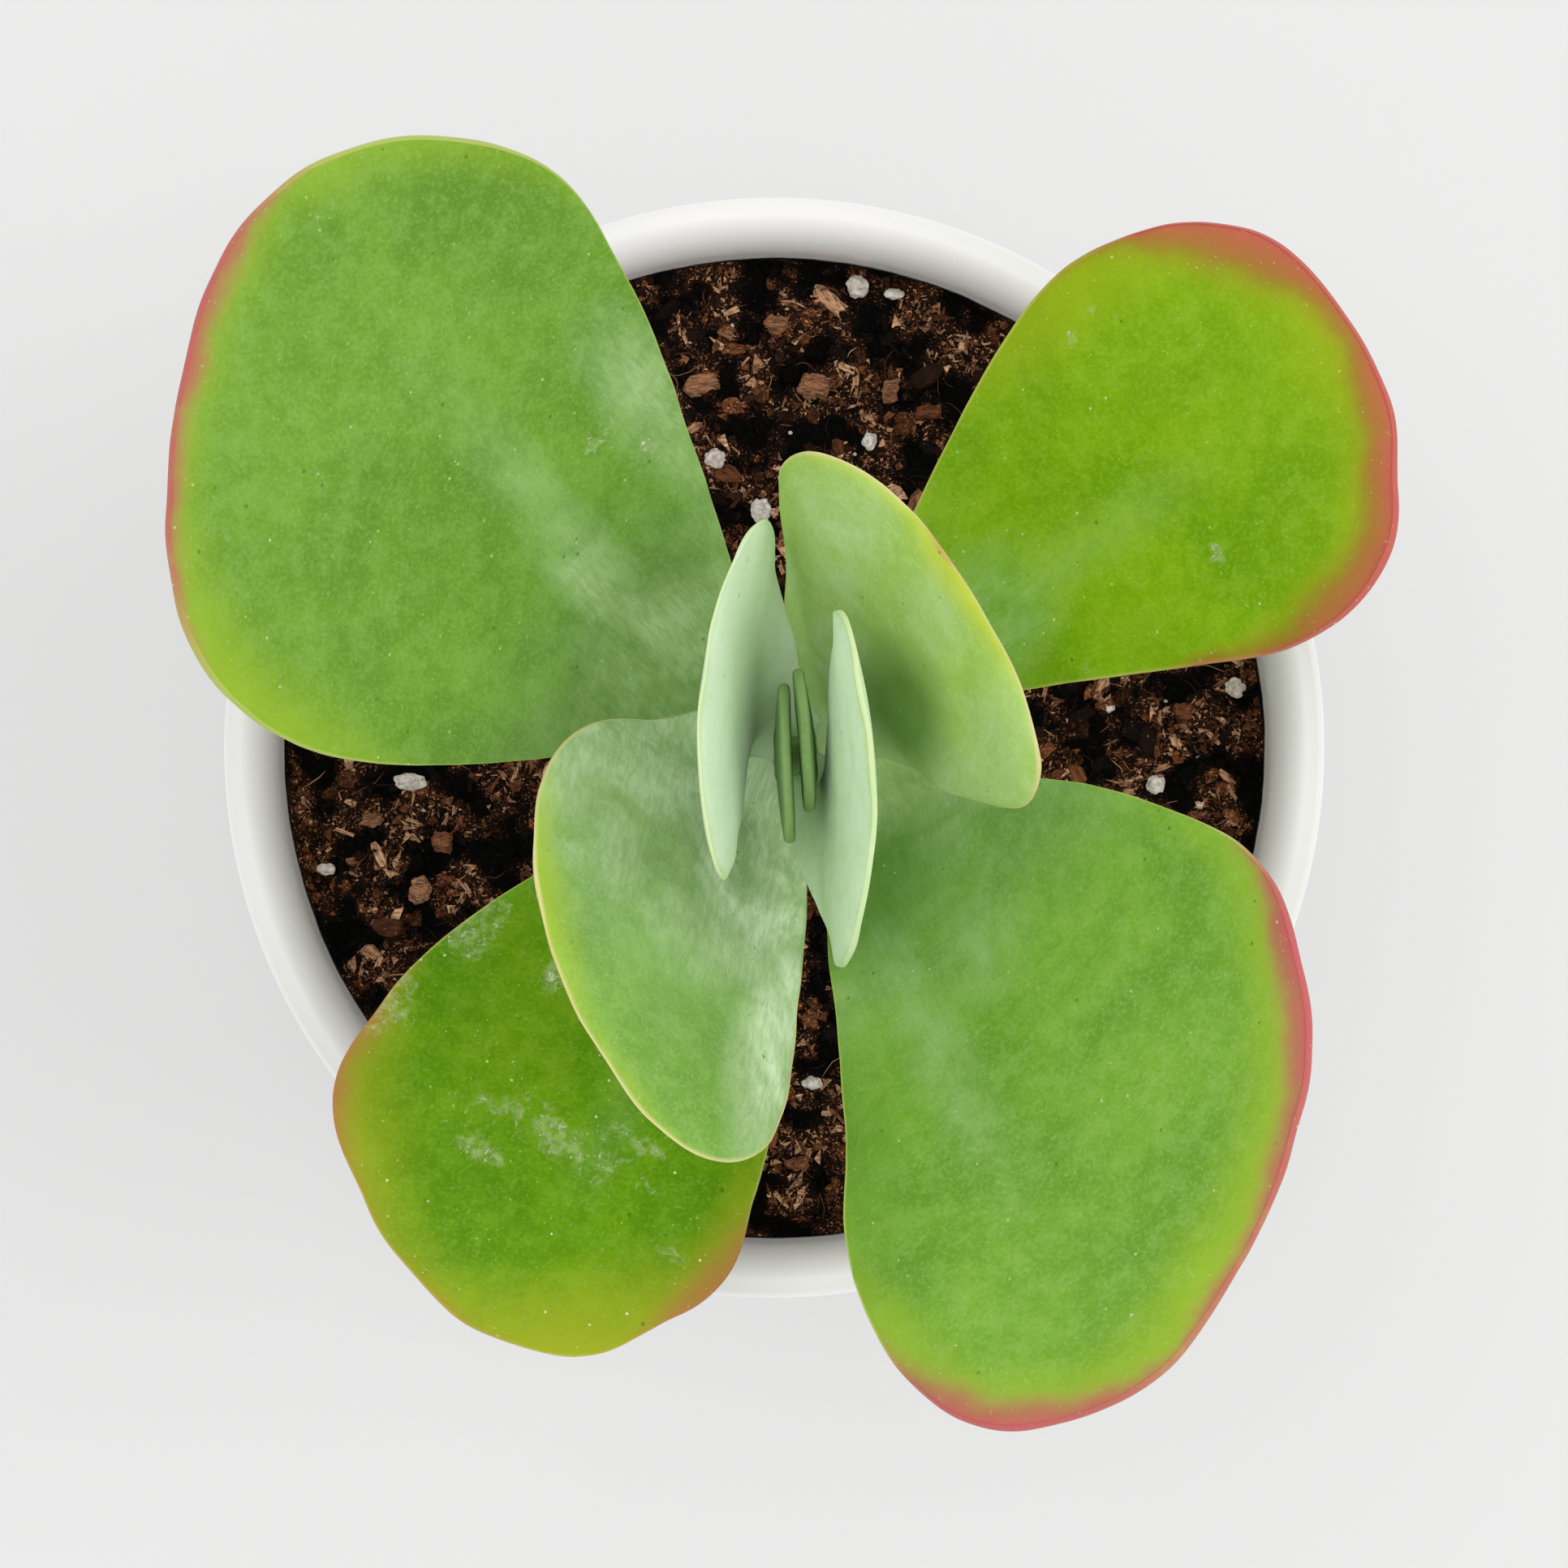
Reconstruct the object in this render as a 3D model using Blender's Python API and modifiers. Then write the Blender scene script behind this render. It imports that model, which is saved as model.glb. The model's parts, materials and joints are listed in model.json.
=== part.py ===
"""Potted kalanchoe: a young paddle plant in a round white glazed pot.

Frame: metres, +Z up. The origin is the middle of the pot's flat underside, on the pot's axis.
The stem stands a little off that axis and carries five opposite pairs of leaves. Each pair is turned
about a quarter turn from the pair below it, and the pairs stand steeper towards the tip.
"""

import math
import random

import bmesh
import bpy
from mathutils import Matrix, Vector

MM = 0.001
GAP = 0.3 * MM  # clearance kept between pieces that touch

# Pot
POT_HEIGHT = 118 * MM
RIM_RADIUS = 65 * MM
FOOT_RADIUS = 45 * MM
FOOT_ROUND = 5 * MM
WALL = 4.6 * MM
FLOOR = 6 * MM
FLOOR_FILLET = 7 * MM
DRAIN_RADIUS = 3.5 * MM
DRAIN_CIRCLE = 20 * MM
DRAIN_COUNT = 3

# Potting mix
WATERING_DEPTH = 12 * MM  # from the top of the rim down to the mix
SOIL_SHOULDER = 1.2 * MM  # how far the mix sinks where it meets the wall

# Stem, with the lowest pair's height counted from the top of the mix
STEM_X = 2.4 * MM
STEM_Y = -1.2 * MM
STEM_RADIUS = 4.0 * MM
COLLAR_FLARE = 0.3 * MM  # how much the stem widens where it meets the mix
STEM_TIP_RADIUS = 1.5 * MM
STEM_BURIED = 16 * MM
NODE_SWELL = 0.35 * MM
NODE_HEIGHT = 1.6 * MM
LOW_PAIR = 14 * MM
LARGE_SPACING = 10 * MM  # each spacing is counted from the pair below
CUPPED_SPACING = 9 * MM
INNER_SPACING = 7 * MM
TIP_SPACING = 6 * MM

# Roots
ROOT_RADIUS = 1.5 * MM
ROOT_TIP_RADIUS = 0.7 * MM
ROOT_COUNT = 7
ROOT_REACH = 34 * MM
ROOT_FLOOR_SPACE = 16.3 * MM  # from the deepest root tip down to the pot's floor
CROWN_RADIUS = 5.2 * MM
CROWN_DEPTH = 9 * MM

LARGE_PAIR = LOW_PAIR + LARGE_SPACING
CUPPED_PAIR = LARGE_PAIR + CUPPED_SPACING
INNER_PAIR = CUPPED_PAIR + INNER_SPACING
TIP_PAIR = INNER_PAIR + TIP_SPACING

# Leaves. Angles are in degrees and lengths in millimetres.
#   node        height on the stem above the mix
#   azimuth     direction the leaf points, from +X towards +Y
#   rise        how steeply it leaves the stem; bend is how much it turns up or down by its tip
#   twist       turn of the blade about its own midrib, gained over the lower part of the leaf
#   cup         how far the two margins curl up towards each other
#   left, right widest half widths, seen with the leaf pointing away
#   slim        how narrow each side stays near the stem; blunt is how square each side ends
#   sweep       sideways drift of the midrib at the tip
LEAVES = {
    "leaf_low_right": dict(
        node=LOW_PAIR, azimuth=40, rise=36, bend=-7, twist=-12, cup=28, length=83.5, left=23.5, right=26.5,
        slim=(1.4, 1.65), blunt=(1.45, 1.5), sweep=-2, thick=3.4, grid=12,
    ),
    "leaf_low_left": dict(
        node=LOW_PAIR, azimuth=237, rise=32, bend=-13, twist=0, cup=13, length=73.5, left=22, right=26,
        slim=(1.05, 1.1), blunt=(1.55, 1.6), sweep=4.5, thick=3.4, grid=12,
    ),
    "leaf_large_left": dict(
        node=LARGE_PAIR, azimuth=146, rise=51, bend=-9, twist=9, cup=40, length=98, left=34, right=30.5,
        slim=(1.4, 1.2), blunt=(1.5, 1.15), sweep=-9, thick=3.6, grid=12,
    ),
    "leaf_large_right": dict(
        node=LARGE_PAIR, azimuth=312, rise=53, bend=-10, twist=9, cup=37, length=94.5, left=35, right=26.5,
        slim=(1.2, 1.4), blunt=(1.4, 1.15), sweep=-14, thick=3.6, grid=12,
    ),
    "leaf_cupped_right": dict(
        node=CUPPED_PAIR, azimuth=46, rise=68, bend=2, twist=-11, cup=26, length=56, left=20.5, right=24,
        slim=(1.05, 1.1), blunt=(2.0, 2.6), sweep=3.5, thick=3.0, grid=12,
    ),
    "leaf_cupped_left": dict(
        node=CUPPED_PAIR, azimuth=226, rise=60, bend=-2, twist=-12, cup=16, length=59, left=19.5, right=24,
        slim=(0.85, 0.65), blunt=(1.55, 2.7), sweep=13.5, thick=3.0, grid=12,
    ),
    "leaf_inner_left": dict(
        node=INNER_PAIR, azimuth=138, rise=78.5, bend=0, twist=36, cup=34, length=43.5, left=17.5, right=21.5,
        slim=(1.4, 1.15), blunt=(2.1, 1.8), sweep=5.5, thick=2.8, grid=10,
    ),
    "leaf_inner_right": dict(
        node=INNER_PAIR, azimuth=318, rise=86, bend=-8, twist=42, cup=24, length=46.5, left=16.5, right=21,
        slim=(1.6, 1.2), blunt=(2.2, 1.9), sweep=7.5, thick=2.8, grid=10,
    ),
    "leaf_tip_left": dict(
        node=TIP_PAIR, azimuth=182, rise=91, bend=0, twist=0, cup=8, length=23, left=8.6, right=8.6,
        slim=(1.2, 1.2), blunt=(2.0, 2.0), sweep=1.6, thick=1.7, grid=8,
    ),
    "leaf_tip_right": dict(
        node=TIP_PAIR, azimuth=4, rise=91, bend=0, twist=0, cup=8, length=24, left=7.6, right=7.6,
        slim=(1.2, 1.2), blunt=(2.0, 2.0), sweep=2.8, thick=1.7, grid=8,
    ),
}
TWIST_SHARE = 0.45  # share of the length over which the twist is gained
BASE_WIDTH = 1.45  # half width of a leaf's foot, as a share of the stem's radius there
MARGIN_SHARE = 0.5  # thickness at the margin, as a share of the leaf's thickness
MARGIN_ROUND = 0.42  # rounding of the margin, as a share of its thickness

# Loose grains on top of the mix: centre x and y in millimetres on a mix of this radius, which spread
# or close up with the mix, then length, width and height
GRAIN_FIELD = 58.689 * MM
PERLITE = (
    (10, 55.5, 2.7, 2.6, 2.4),
    (14.3, 54.6, 2.4, 1.5, 1.4),
    (-7.2, 34.8, 2.5, 2.3, 2.1),
    (-1.6, 28.6, 2.7, 2.3, 2.0),
    (11.3, 36.8, 2.3, 1.8, 1.6),
    (55.4, 7.2, 2.6, 2.4, 2.1),
    (45.8, -4.5, 2.4, 2.0, 1.8),
    (-54, -14.6, 2.2, 1.6, 1.4),
    (4.5, -40.3, 2.3, 1.5, 1.4),
    (-43.8, -4, 4.2, 2.1, 1.6),
)
BARK = (
    (0.5, 51, 4.6, 3.0, 1.4),
    (5, 43.6, 5.0, 4.0, 1.8),
    (14, 43, 2.6, 4.2, 1.6),
    (18.5, 40.5, 3.6, 2.2, 1.5),
    (-40, -11.5, 3.5, 3.3, 2.0),
    (-42.4, -17, 3.1, 4.0, 1.9),
    (-46.5, -21.5, 5.0, 2.4, 1.5),
    (-48.5, -8.6, 3.2, 2.2, 1.3),
    (49, 4.5, 3.4, 2.4, 1.4),
    (2.5, -50, 4.2, 2.6, 1.5),
)
GRAIN_UNEVEN = 0.16

POT_STEPS = 48
STEM_STEPS = 20

SOIL_TOP = POT_HEIGHT - WATERING_DEPTH


def clear_scene():
    for obj in list(bpy.data.objects):
        bpy.data.objects.remove(obj)
    for collection in list(bpy.data.collections):
        bpy.data.collections.remove(collection)


def new_collection(name):
    collection = bpy.data.collections.new(name)
    bpy.context.scene.collection.children.link(collection)
    return collection


def new_material(name, colour, roughness, metallic=0.0):
    material = bpy.data.materials.new(name)
    material.use_nodes = True
    shader = material.node_tree.nodes["Principled BSDF"]
    shader.inputs["Base Color"].default_value = (*colour, 1)
    shader.inputs["Roughness"].default_value = roughness
    shader.inputs["Metallic"].default_value = metallic
    return material


def new_object(name, mesh, collection, material=None):
    obj = bpy.data.objects.new(name, mesh)
    collection.objects.link(obj)
    if material:
        mesh.materials.append(material)
    return obj


def shade_round(mesh, degrees=40):
    mesh.shade_smooth()
    mesh.set_sharp_from_angle(angle=math.radians(degrees))


def turned(name, profile, collection, material, steps):
    """An object turned about Z from (radius, height) points that run down its outer side."""
    mesh = bpy.data.meshes.new(name)
    points = [(radius, 0, height) for radius, height in profile]
    mesh.from_pydata(points, [(i, i + 1) for i in range(len(points) - 1)], [])
    obj = new_object(name, mesh, collection, material)
    screw = obj.modifiers.new("Turn", "SCREW")
    screw.steps = screw.render_steps = steps
    screw.use_merge_vertices = True
    screw.merge_threshold = 0.00001
    screw.use_smooth_shade = True
    return obj


def arc(centre_radius, centre_height, radius, start, end, points):
    """Points on an arc of a profile, with its angles in degrees from the outward direction."""
    angles = [math.radians(start + (end - start) * i / (points - 1)) for i in range(points)]
    return [
        (centre_radius + radius * math.cos(a), centre_height + radius * math.sin(a)) for a in angles
    ]


def cut(obj, cutter):
    boolean = obj.modifiers.new("Cut " + cutter.name, "BOOLEAN")
    boolean.operation = "DIFFERENCE"
    boolean.object = cutter


def hide_cutter(obj):
    obj.hide_render = True
    obj.display_type = "WIRE"


# Pot and potting mix


def outer_radius(height):
    """The pot's outer side: a straight taper that opens a little faster near the foot."""
    share = height / POT_HEIGHT
    bulge = 0.12 * math.sin(math.pi * share)
    return FOOT_RADIUS + (RIM_RADIUS - FOOT_RADIUS) * (share + bulge)


def mix_radius():
    """Radius of the mix where its level top begins to sink towards the wall."""
    return outer_radius(SOIL_TOP - SOIL_SHOULDER) - WALL - GAP


def inside_profile(clearance, top):
    """The pot's inside from the middle of its floor up its wall to a height, drawn in by a clearance."""
    floor = FLOOR + clearance
    fillet = FLOOR_FILLET - clearance
    corner = outer_radius(FLOOR + FLOOR_FILLET) - WALL - FLOOR_FILLET
    points = [(0, floor)]
    points += arc(corner, FLOOR + FLOOR_FILLET, fillet, -90, 0, 4)
    low = FLOOR + FLOOR_FILLET
    heights = [low + (top - low) * i / 4 for i in range(1, 5)]
    points += [(outer_radius(h) - WALL - clearance, h) for h in heights]
    return points


def make_pot(collection, cutters, material):
    lip = WALL / 2
    profile = inside_profile(0, POT_HEIGHT - 2 * lip)
    profile += arc(RIM_RADIUS - lip, POT_HEIGHT - lip, lip, 180, 0, 7)
    side_top = POT_HEIGHT - 2 * lip
    side_low = FOOT_ROUND
    heights = [side_top + (side_low - side_top) * i / 4 for i in range(5)]
    profile += [(outer_radius(h), h) for h in heights]
    profile += arc(outer_radius(side_low) - FOOT_ROUND, FOOT_ROUND, FOOT_ROUND, -20, -90, 4)
    profile += [(0, 0)]
    pot = turned("pot", profile, collection, material, POT_STEPS)
    for i in range(DRAIN_COUNT):
        angle = 2 * math.pi * (i + 0.25) / DRAIN_COUNT
        bm = bmesh.new()
        bmesh.ops.create_cone(
            bm, cap_ends=True, segments=16, radius1=DRAIN_RADIUS, radius2=DRAIN_RADIUS, depth=4 * FLOOR
        )
        mesh = bpy.data.meshes.new(f"drain_{i + 1}")
        bm.to_mesh(mesh)
        bm.free()
        cutter = new_object(mesh.name, mesh, cutters)
        cutter.location = (DRAIN_CIRCLE * math.cos(angle), DRAIN_CIRCLE * math.sin(angle), FLOOR / 2)
        hide_cutter(cutter)
        cut(pot, cutter)
    return pot


def make_soil(collection, material, pocket):
    profile = inside_profile(GAP, SOIL_TOP - SOIL_SHOULDER)
    edge = profile[-1][0]
    profile += [(edge - 0.8 * MM, SOIL_TOP - 0.3 * SOIL_SHOULDER), (edge - 3 * MM, SOIL_TOP), (0, SOIL_TOP)]
    profile.reverse()
    soil = turned("soil", profile, collection, material, POT_STEPS)
    cut(soil, pocket)
    return soil


# Stem and roots


def stem_radius(height):
    """The stem's radius at a height above the mix, between its nodes."""
    share = min(max(height / TIP_PAIR, 0), 1)
    return STEM_RADIUS + (STEM_TIP_RADIUS - STEM_RADIUS) * share**2.2


def stem_profile():
    """The stem from its tip down: a ring of leaf scars swells it at each pair of leaves."""
    top = TIP_PAIR - GAP
    profile = [(0, top), (0.75 * stem_radius(top), top - 0.2 * MM)]
    for node in (INNER_PAIR, CUPPED_PAIR, LARGE_PAIR, LOW_PAIR):
        for step in (1, 0, -1):
            height = node + step * NODE_HEIGHT
            profile.append((stem_radius(height) + (0 if step else NODE_SWELL), height))
    profile += [(STEM_RADIUS, 3 * MM), (STEM_RADIUS + COLLAR_FLARE, 0), (STEM_RADIUS, -STEM_BURIED), (0, -STEM_BURIED)]
    return [(radius, SOIL_TOP + height) for radius, height in profile]


def make_stem(collection, material):
    stem = turned("stem", stem_profile(), collection, material, STEM_STEPS)
    stem.location = (STEM_X, STEM_Y, 0)
    return stem


def root_route(index):
    """A root runs out and down from the crown, with a slow bend of its own."""
    angle = 2 * math.pi * index / ROOT_COUNT + 0.35 * math.sin(2.7 * index)
    reach = ROOT_REACH * (0.75 + 0.25 * math.sin(1.9 * index + 1))
    top = SOIL_TOP - STEM_BURIED - GAP - 0.6 * CROWN_DEPTH
    depth = (top - FLOOR - ROOT_FLOOR_SPACE) * (0.8 + 0.2 * math.cos(2.3 * index))
    points = []
    for i in range(8):
        share = i / 7
        turn = angle + 0.5 * math.sin(2.4 * share + index)
        out = reach * share**0.8
        points.append(
            Vector((STEM_X + out * math.cos(turn), STEM_Y + out * math.sin(turn), top - depth * share**1.3))
        )
    return points


def root_mesh(name, index, extra):
    """One root as a mesh tube, thicker all round by an extra amount."""
    curve = bpy.data.curves.new(name, "CURVE")
    curve.dimensions = "3D"
    curve.bevel_depth = 1
    curve.bevel_resolution = 1
    curve.use_fill_caps = True
    route = root_route(index)
    spline = curve.splines.new("POLY")
    spline.points.add(len(route) - 1)
    for i, (point, place) in enumerate(zip(spline.points, route)):
        point.co = (*place, 1)
        share = i / (len(route) - 1)
        point.radius = ROOT_RADIUS + (ROOT_TIP_RADIUS - ROOT_RADIUS) * share + extra
    spline.points[-1].co.z -= extra
    guide = bpy.data.objects.new(name, curve)
    bpy.context.scene.collection.objects.link(guide)
    graph = bpy.context.evaluated_depsgraph_get()
    mesh = bpy.data.meshes.new_from_object(guide.evaluated_get(graph))
    bpy.data.objects.remove(guide)
    bm = bmesh.new()
    bm.from_mesh(mesh)
    bmesh.ops.remove_doubles(bm, verts=bm.verts, dist=0.00001)
    bmesh.ops.recalc_face_normals(bm, faces=bm.faces)
    bm.to_mesh(mesh)
    bm.free()
    return mesh


def make_root_ball(name, collection, cutters, material, extra):
    """The crown with all its roots joined to it. With an extra amount it is the pocket they lie in."""
    top = SOIL_TOP - STEM_BURIED - GAP + extra
    depth = CROWN_DEPTH + extra
    radius = CROWN_RADIUS + extra
    profile = [(0, top), (0.8 * radius, top)]
    profile += [(radius, top - 0.25 * depth), (0.9 * radius, top - 0.7 * depth), (0, top - 1.1 * depth)]
    crown = turned(name, profile, collection, material, 14)
    crown.location = (STEM_X, STEM_Y, 0)
    for i in range(ROOT_COUNT):
        root = new_object(f"{name}_{i + 1}", root_mesh(name, i, extra), cutters)
        hide_cutter(root)
        union = crown.modifiers.new(f"Root {i + 1}", "BOOLEAN")
        union.operation = "UNION"
        union.object = root
    return crown


def make_stem_pocket(cutters):
    """The bore in the mix that the buried part of the stem fills."""
    radius = STEM_RADIUS + COLLAR_FLARE + GAP
    top = SOIL_TOP + STEM_BURIED
    bottom = SOIL_TOP - STEM_BURIED - 2 * GAP
    profile = [(0, top), (radius, top), (radius, bottom), (0, bottom)]
    pocket = turned("stem_pocket", profile, cutters, None, STEM_STEPS)
    pocket.location = (STEM_X, STEM_Y, 0)
    hide_cutter(pocket)
    return pocket


# Leaves


def side_width(share, widest, slim, blunt):
    """Half width of one side of a leaf at a share of its length: a paddle that is widest near its tip."""
    peak = 2 * slim / (2 * slim + blunt)
    most = peak ** (slim / blunt) * math.sqrt(1 - peak)
    share = min(max(share, 0), 1)
    return widest * share**slim * math.sqrt(1 - share**blunt) / most


def leaf_foot(leaf):
    """Distance of a leaf's foot from the stem's axis, so that its thick base clears the node."""
    if leaf["node"] >= TIP_PAIR:
        return leaf["thick"] * MM / 2 + 2.2 * GAP
    reach = leaf["thick"] * MM / 2 * math.sin(math.radians(leaf["rise"]))
    return stem_radius(leaf["node"]) + NODE_SWELL + GAP + reach


def leaf_point(leaf, share, across):
    """Where a point of a leaf's middle surface lies: share of the length, and signed distance across."""
    length = leaf["length"] * MM
    azimuth = math.radians(leaf["azimuth"])
    rise = math.radians(leaf["rise"])
    bend = (math.radians(leaf["bend"]) or 1e-6) / length
    along = share * length
    pitch = rise + bend * along
    out = leaf_foot(leaf) + (math.sin(pitch) - math.sin(rise)) / bend
    up = SOIL_TOP + leaf["node"] + (math.cos(rise) - math.cos(pitch)) / bend
    outward = Vector((math.cos(azimuth), math.sin(azimuth), 0))
    side = Vector((-math.sin(azimuth), math.cos(azimuth), 0))
    normal = math.cos(pitch) * Vector((0, 0, 1)) - math.sin(pitch) * outward
    gained = min(share / TWIST_SHARE, 1)
    twist = math.radians(leaf["twist"]) * gained**2 * (3 - 2 * gained)
    turned_side = math.cos(twist) * side + math.sin(twist) * normal
    turned_normal = math.cos(twist) * normal - math.sin(twist) * side
    curl = math.radians(leaf["cup"]) / ((leaf["left"] + leaf["right"]) * MM)
    angle = curl * across
    return (
        Vector((STEM_X, STEM_Y, up))
        + outward * out
        + turned_side * math.sin(angle) / curl
        + turned_normal * (1 - math.cos(angle)) / curl
    )


def leaf_mesh(name, leaf):
    """A square grid rounded into a disc, stretched to the leaf's outline and bent into place."""
    bm = bmesh.new()
    bmesh.ops.create_grid(bm, x_segments=leaf["grid"], y_segments=leaf["grid"], size=1)
    foot = BASE_WIDTH * stem_radius(leaf["node"])
    flesh = []
    for vertex in bm.verts:
        u, v = vertex.co.x, vertex.co.y
        along = u * math.sqrt(1 - v * v / 2)
        across = v * math.sqrt(1 - u * u / 2)
        share = (along + 1) / 2
        side = 0 if across > 0 else 1
        rim = math.sqrt(max(1 - along * along, 1e-12))
        widest = (leaf["left"], leaf["right"])[side] * MM
        half = side_width(share, widest, leaf["slim"][side], leaf["blunt"][side]) + foot * (1 - share) ** 3
        offset = leaf["sweep"] * MM * share**2 + half * max(-1, min(1, across / rim))
        vertex.co = leaf_point(leaf, share, offset)
        flesh.append(max(1 - math.hypot(along, across) ** 3, (1 - share) ** 4))
    bmesh.ops.recalc_face_normals(bm, faces=bm.faces)
    mesh = bpy.data.meshes.new(name)
    bm.to_mesh(mesh)
    bm.free()
    return mesh, flesh


def make_leaf(name, leaf, collection, material):
    mesh, flesh = leaf_mesh(name, leaf)
    obj = new_object(name, mesh, collection, material)
    group = obj.vertex_groups.new(name="flesh")
    for index, weight in enumerate(flesh):
        group.add([index], min(max(weight, 0), 1), "REPLACE")
    thick = leaf["thick"] * MM
    solidify = obj.modifiers.new("Flesh", "SOLIDIFY")
    solidify.thickness = thick
    solidify.offset = 0
    solidify.vertex_group = group.name
    solidify.thickness_vertex_group = MARGIN_SHARE
    bevel = obj.modifiers.new("Margin", "BEVEL")
    bevel.width = MARGIN_ROUND * MARGIN_SHARE * thick
    bevel.segments = 1
    bevel.limit_method = "ANGLE"
    bevel.angle_limit = math.radians(45)
    shade_round(mesh, 60)
    return obj


# Grains on the mix


def make_grain(name, grain, collection, material, seed, levels):
    """A small uneven lump set just clear of the mix. A long one lies along X or Y, as its sizes say."""
    x, y, length, width, height = (value * MM for value in grain)
    rng = random.Random(seed)
    round_enough = abs(length - width) < 0.5 * MM
    bm = bmesh.new()
    bmesh.ops.create_icosphere(bm, subdivisions=levels, radius=0.5)
    for vertex in bm.verts:
        vertex.co *= 1 + GRAIN_UNEVEN * (rng.random() - 0.5) * 2
    turn = rng.uniform(0, math.pi) if round_enough else 0
    bmesh.ops.transform(bm, verts=bm.verts, matrix=Matrix.Diagonal((length, width, height, 1)))
    bmesh.ops.transform(bm, verts=bm.verts, matrix=Matrix.Rotation(turn, 4, "Z"))
    lowest = min(vertex.co.z for vertex in bm.verts)
    mesh = bpy.data.meshes.new(name)
    bm.to_mesh(mesh)
    bm.free()
    shade_round(mesh, 35)
    obj = new_object(name, mesh, collection, material)
    spread = mix_radius() / GRAIN_FIELD
    obj.location = (x * spread, y * spread, SOIL_TOP + GAP - lowest)
    return obj


def main():
    clear_scene()
    parts = new_collection("Potted kalanchoe")
    cutters = new_collection("Cutters")
    glaze = new_material("White glaze", (0.86, 0.86, 0.85), 0.2)
    mix = new_material("Potting mix", (0.035, 0.02, 0.014), 0.95)
    stalk = new_material("Stem green", (0.30, 0.42, 0.18), 0.6)
    fibre = new_material("Root", (0.55, 0.43, 0.28), 0.9)
    old_leaf = new_material("Old leaf", (0.22, 0.42, 0.03), 0.5)
    grown_leaf = new_material("Grown leaf", (0.12, 0.33, 0.06), 0.5)
    young_leaf = new_material("Young leaf", (0.33, 0.50, 0.28), 0.6)
    white_grain = new_material("Perlite", (0.75, 0.72, 0.68), 0.9)
    brown_chip = new_material("Bark", (0.14, 0.07, 0.04), 0.9)

    pocket = make_root_ball("root_pocket", cutters, cutters, None, GAP)
    hide_cutter(pocket)
    make_pot(parts, cutters, glaze)
    soil = make_soil(parts, mix, pocket)
    cut(soil, make_stem_pocket(cutters))
    make_stem(parts, stalk)
    make_root_ball("roots", parts, cutters, fibre, 0)
    for name, leaf in LEAVES.items():
        material = {LOW_PAIR: old_leaf, LARGE_PAIR: grown_leaf}.get(leaf["node"], young_leaf)
        make_leaf(name, leaf, parts, material)
    for i, grain in enumerate(PERLITE):
        make_grain(f"perlite_{i + 1}", grain, parts, white_grain, i, 2)
    for i, grain in enumerate(BARK):
        make_grain(f"bark_{i + 1}", grain, parts, brown_chip, 100 + i, 1)


main()
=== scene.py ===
"""Looks of the potted kalanchoe: ten fleshy leaves on a short stem, in dark mix in a white glazed pot.

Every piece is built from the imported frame, in metres. The leaves' skins start from the frame's own leaf
solids, so that their outlines stay as they are. Material sizes are in millimetres.
"""

import json
import math
import random

import bmesh
import bpy
import numpy as np
from mathutils import Matrix, Vector, noise
from mathutils.kdtree import KDTree

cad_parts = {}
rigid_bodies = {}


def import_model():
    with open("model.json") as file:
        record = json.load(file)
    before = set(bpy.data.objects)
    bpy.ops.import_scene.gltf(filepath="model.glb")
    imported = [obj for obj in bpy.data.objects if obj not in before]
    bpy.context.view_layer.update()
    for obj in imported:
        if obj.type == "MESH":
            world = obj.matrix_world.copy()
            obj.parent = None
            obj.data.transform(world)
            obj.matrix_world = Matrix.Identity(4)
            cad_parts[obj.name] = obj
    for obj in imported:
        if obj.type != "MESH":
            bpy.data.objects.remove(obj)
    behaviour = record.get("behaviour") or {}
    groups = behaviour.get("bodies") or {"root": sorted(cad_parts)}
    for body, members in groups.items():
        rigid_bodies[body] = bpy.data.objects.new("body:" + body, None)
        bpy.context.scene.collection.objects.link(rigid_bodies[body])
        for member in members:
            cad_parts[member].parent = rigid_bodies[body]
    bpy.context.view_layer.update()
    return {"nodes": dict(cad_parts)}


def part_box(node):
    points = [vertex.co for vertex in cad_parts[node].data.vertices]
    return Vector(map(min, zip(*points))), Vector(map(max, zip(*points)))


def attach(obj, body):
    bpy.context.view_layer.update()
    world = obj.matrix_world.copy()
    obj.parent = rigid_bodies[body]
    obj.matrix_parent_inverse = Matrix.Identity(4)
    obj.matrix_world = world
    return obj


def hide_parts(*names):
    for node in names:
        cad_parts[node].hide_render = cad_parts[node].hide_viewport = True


MM = 0.001
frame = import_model()

soil_low, soil_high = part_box("soil")
pot_low, pot_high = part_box("pot")
stem_low, stem_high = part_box("stem")
AXIS = Vector(((stem_low.x + stem_high.x) / 2, (stem_low.y + stem_high.y) / 2, 0))
SOIL_TOP = soil_high.z
SOIL_RADIUS = soil_high.x

# The pot's lip: flat on top, then an elliptical roll down to the inner wall
LIP_FLAT = 2.1 * MM
LIP_ROLL = 3.9 * MM
LIP_DROP = 7.0 * MM
WALL_START = 14 * MM  # below the rim, where the plain inner wall begins
FLOOR_FILLET = 6 * MM
DRAIN_RADIUS = 3.5 * MM

# Sizes in the potting mix
MOUND = 11 * MM
CLUMP = 5 * MM
CRUMBS = ((3.1 * MM, 0.75), (1.5 * MM, 0.45), (0.8 * MM, 0.22))  # each size and its height in millimetres
BANK = 3 * MM  # width of the strip that rises against the pot
STEM_SPACE = 5 * MM  # no loose pieces this close to the stem's axis

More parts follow.
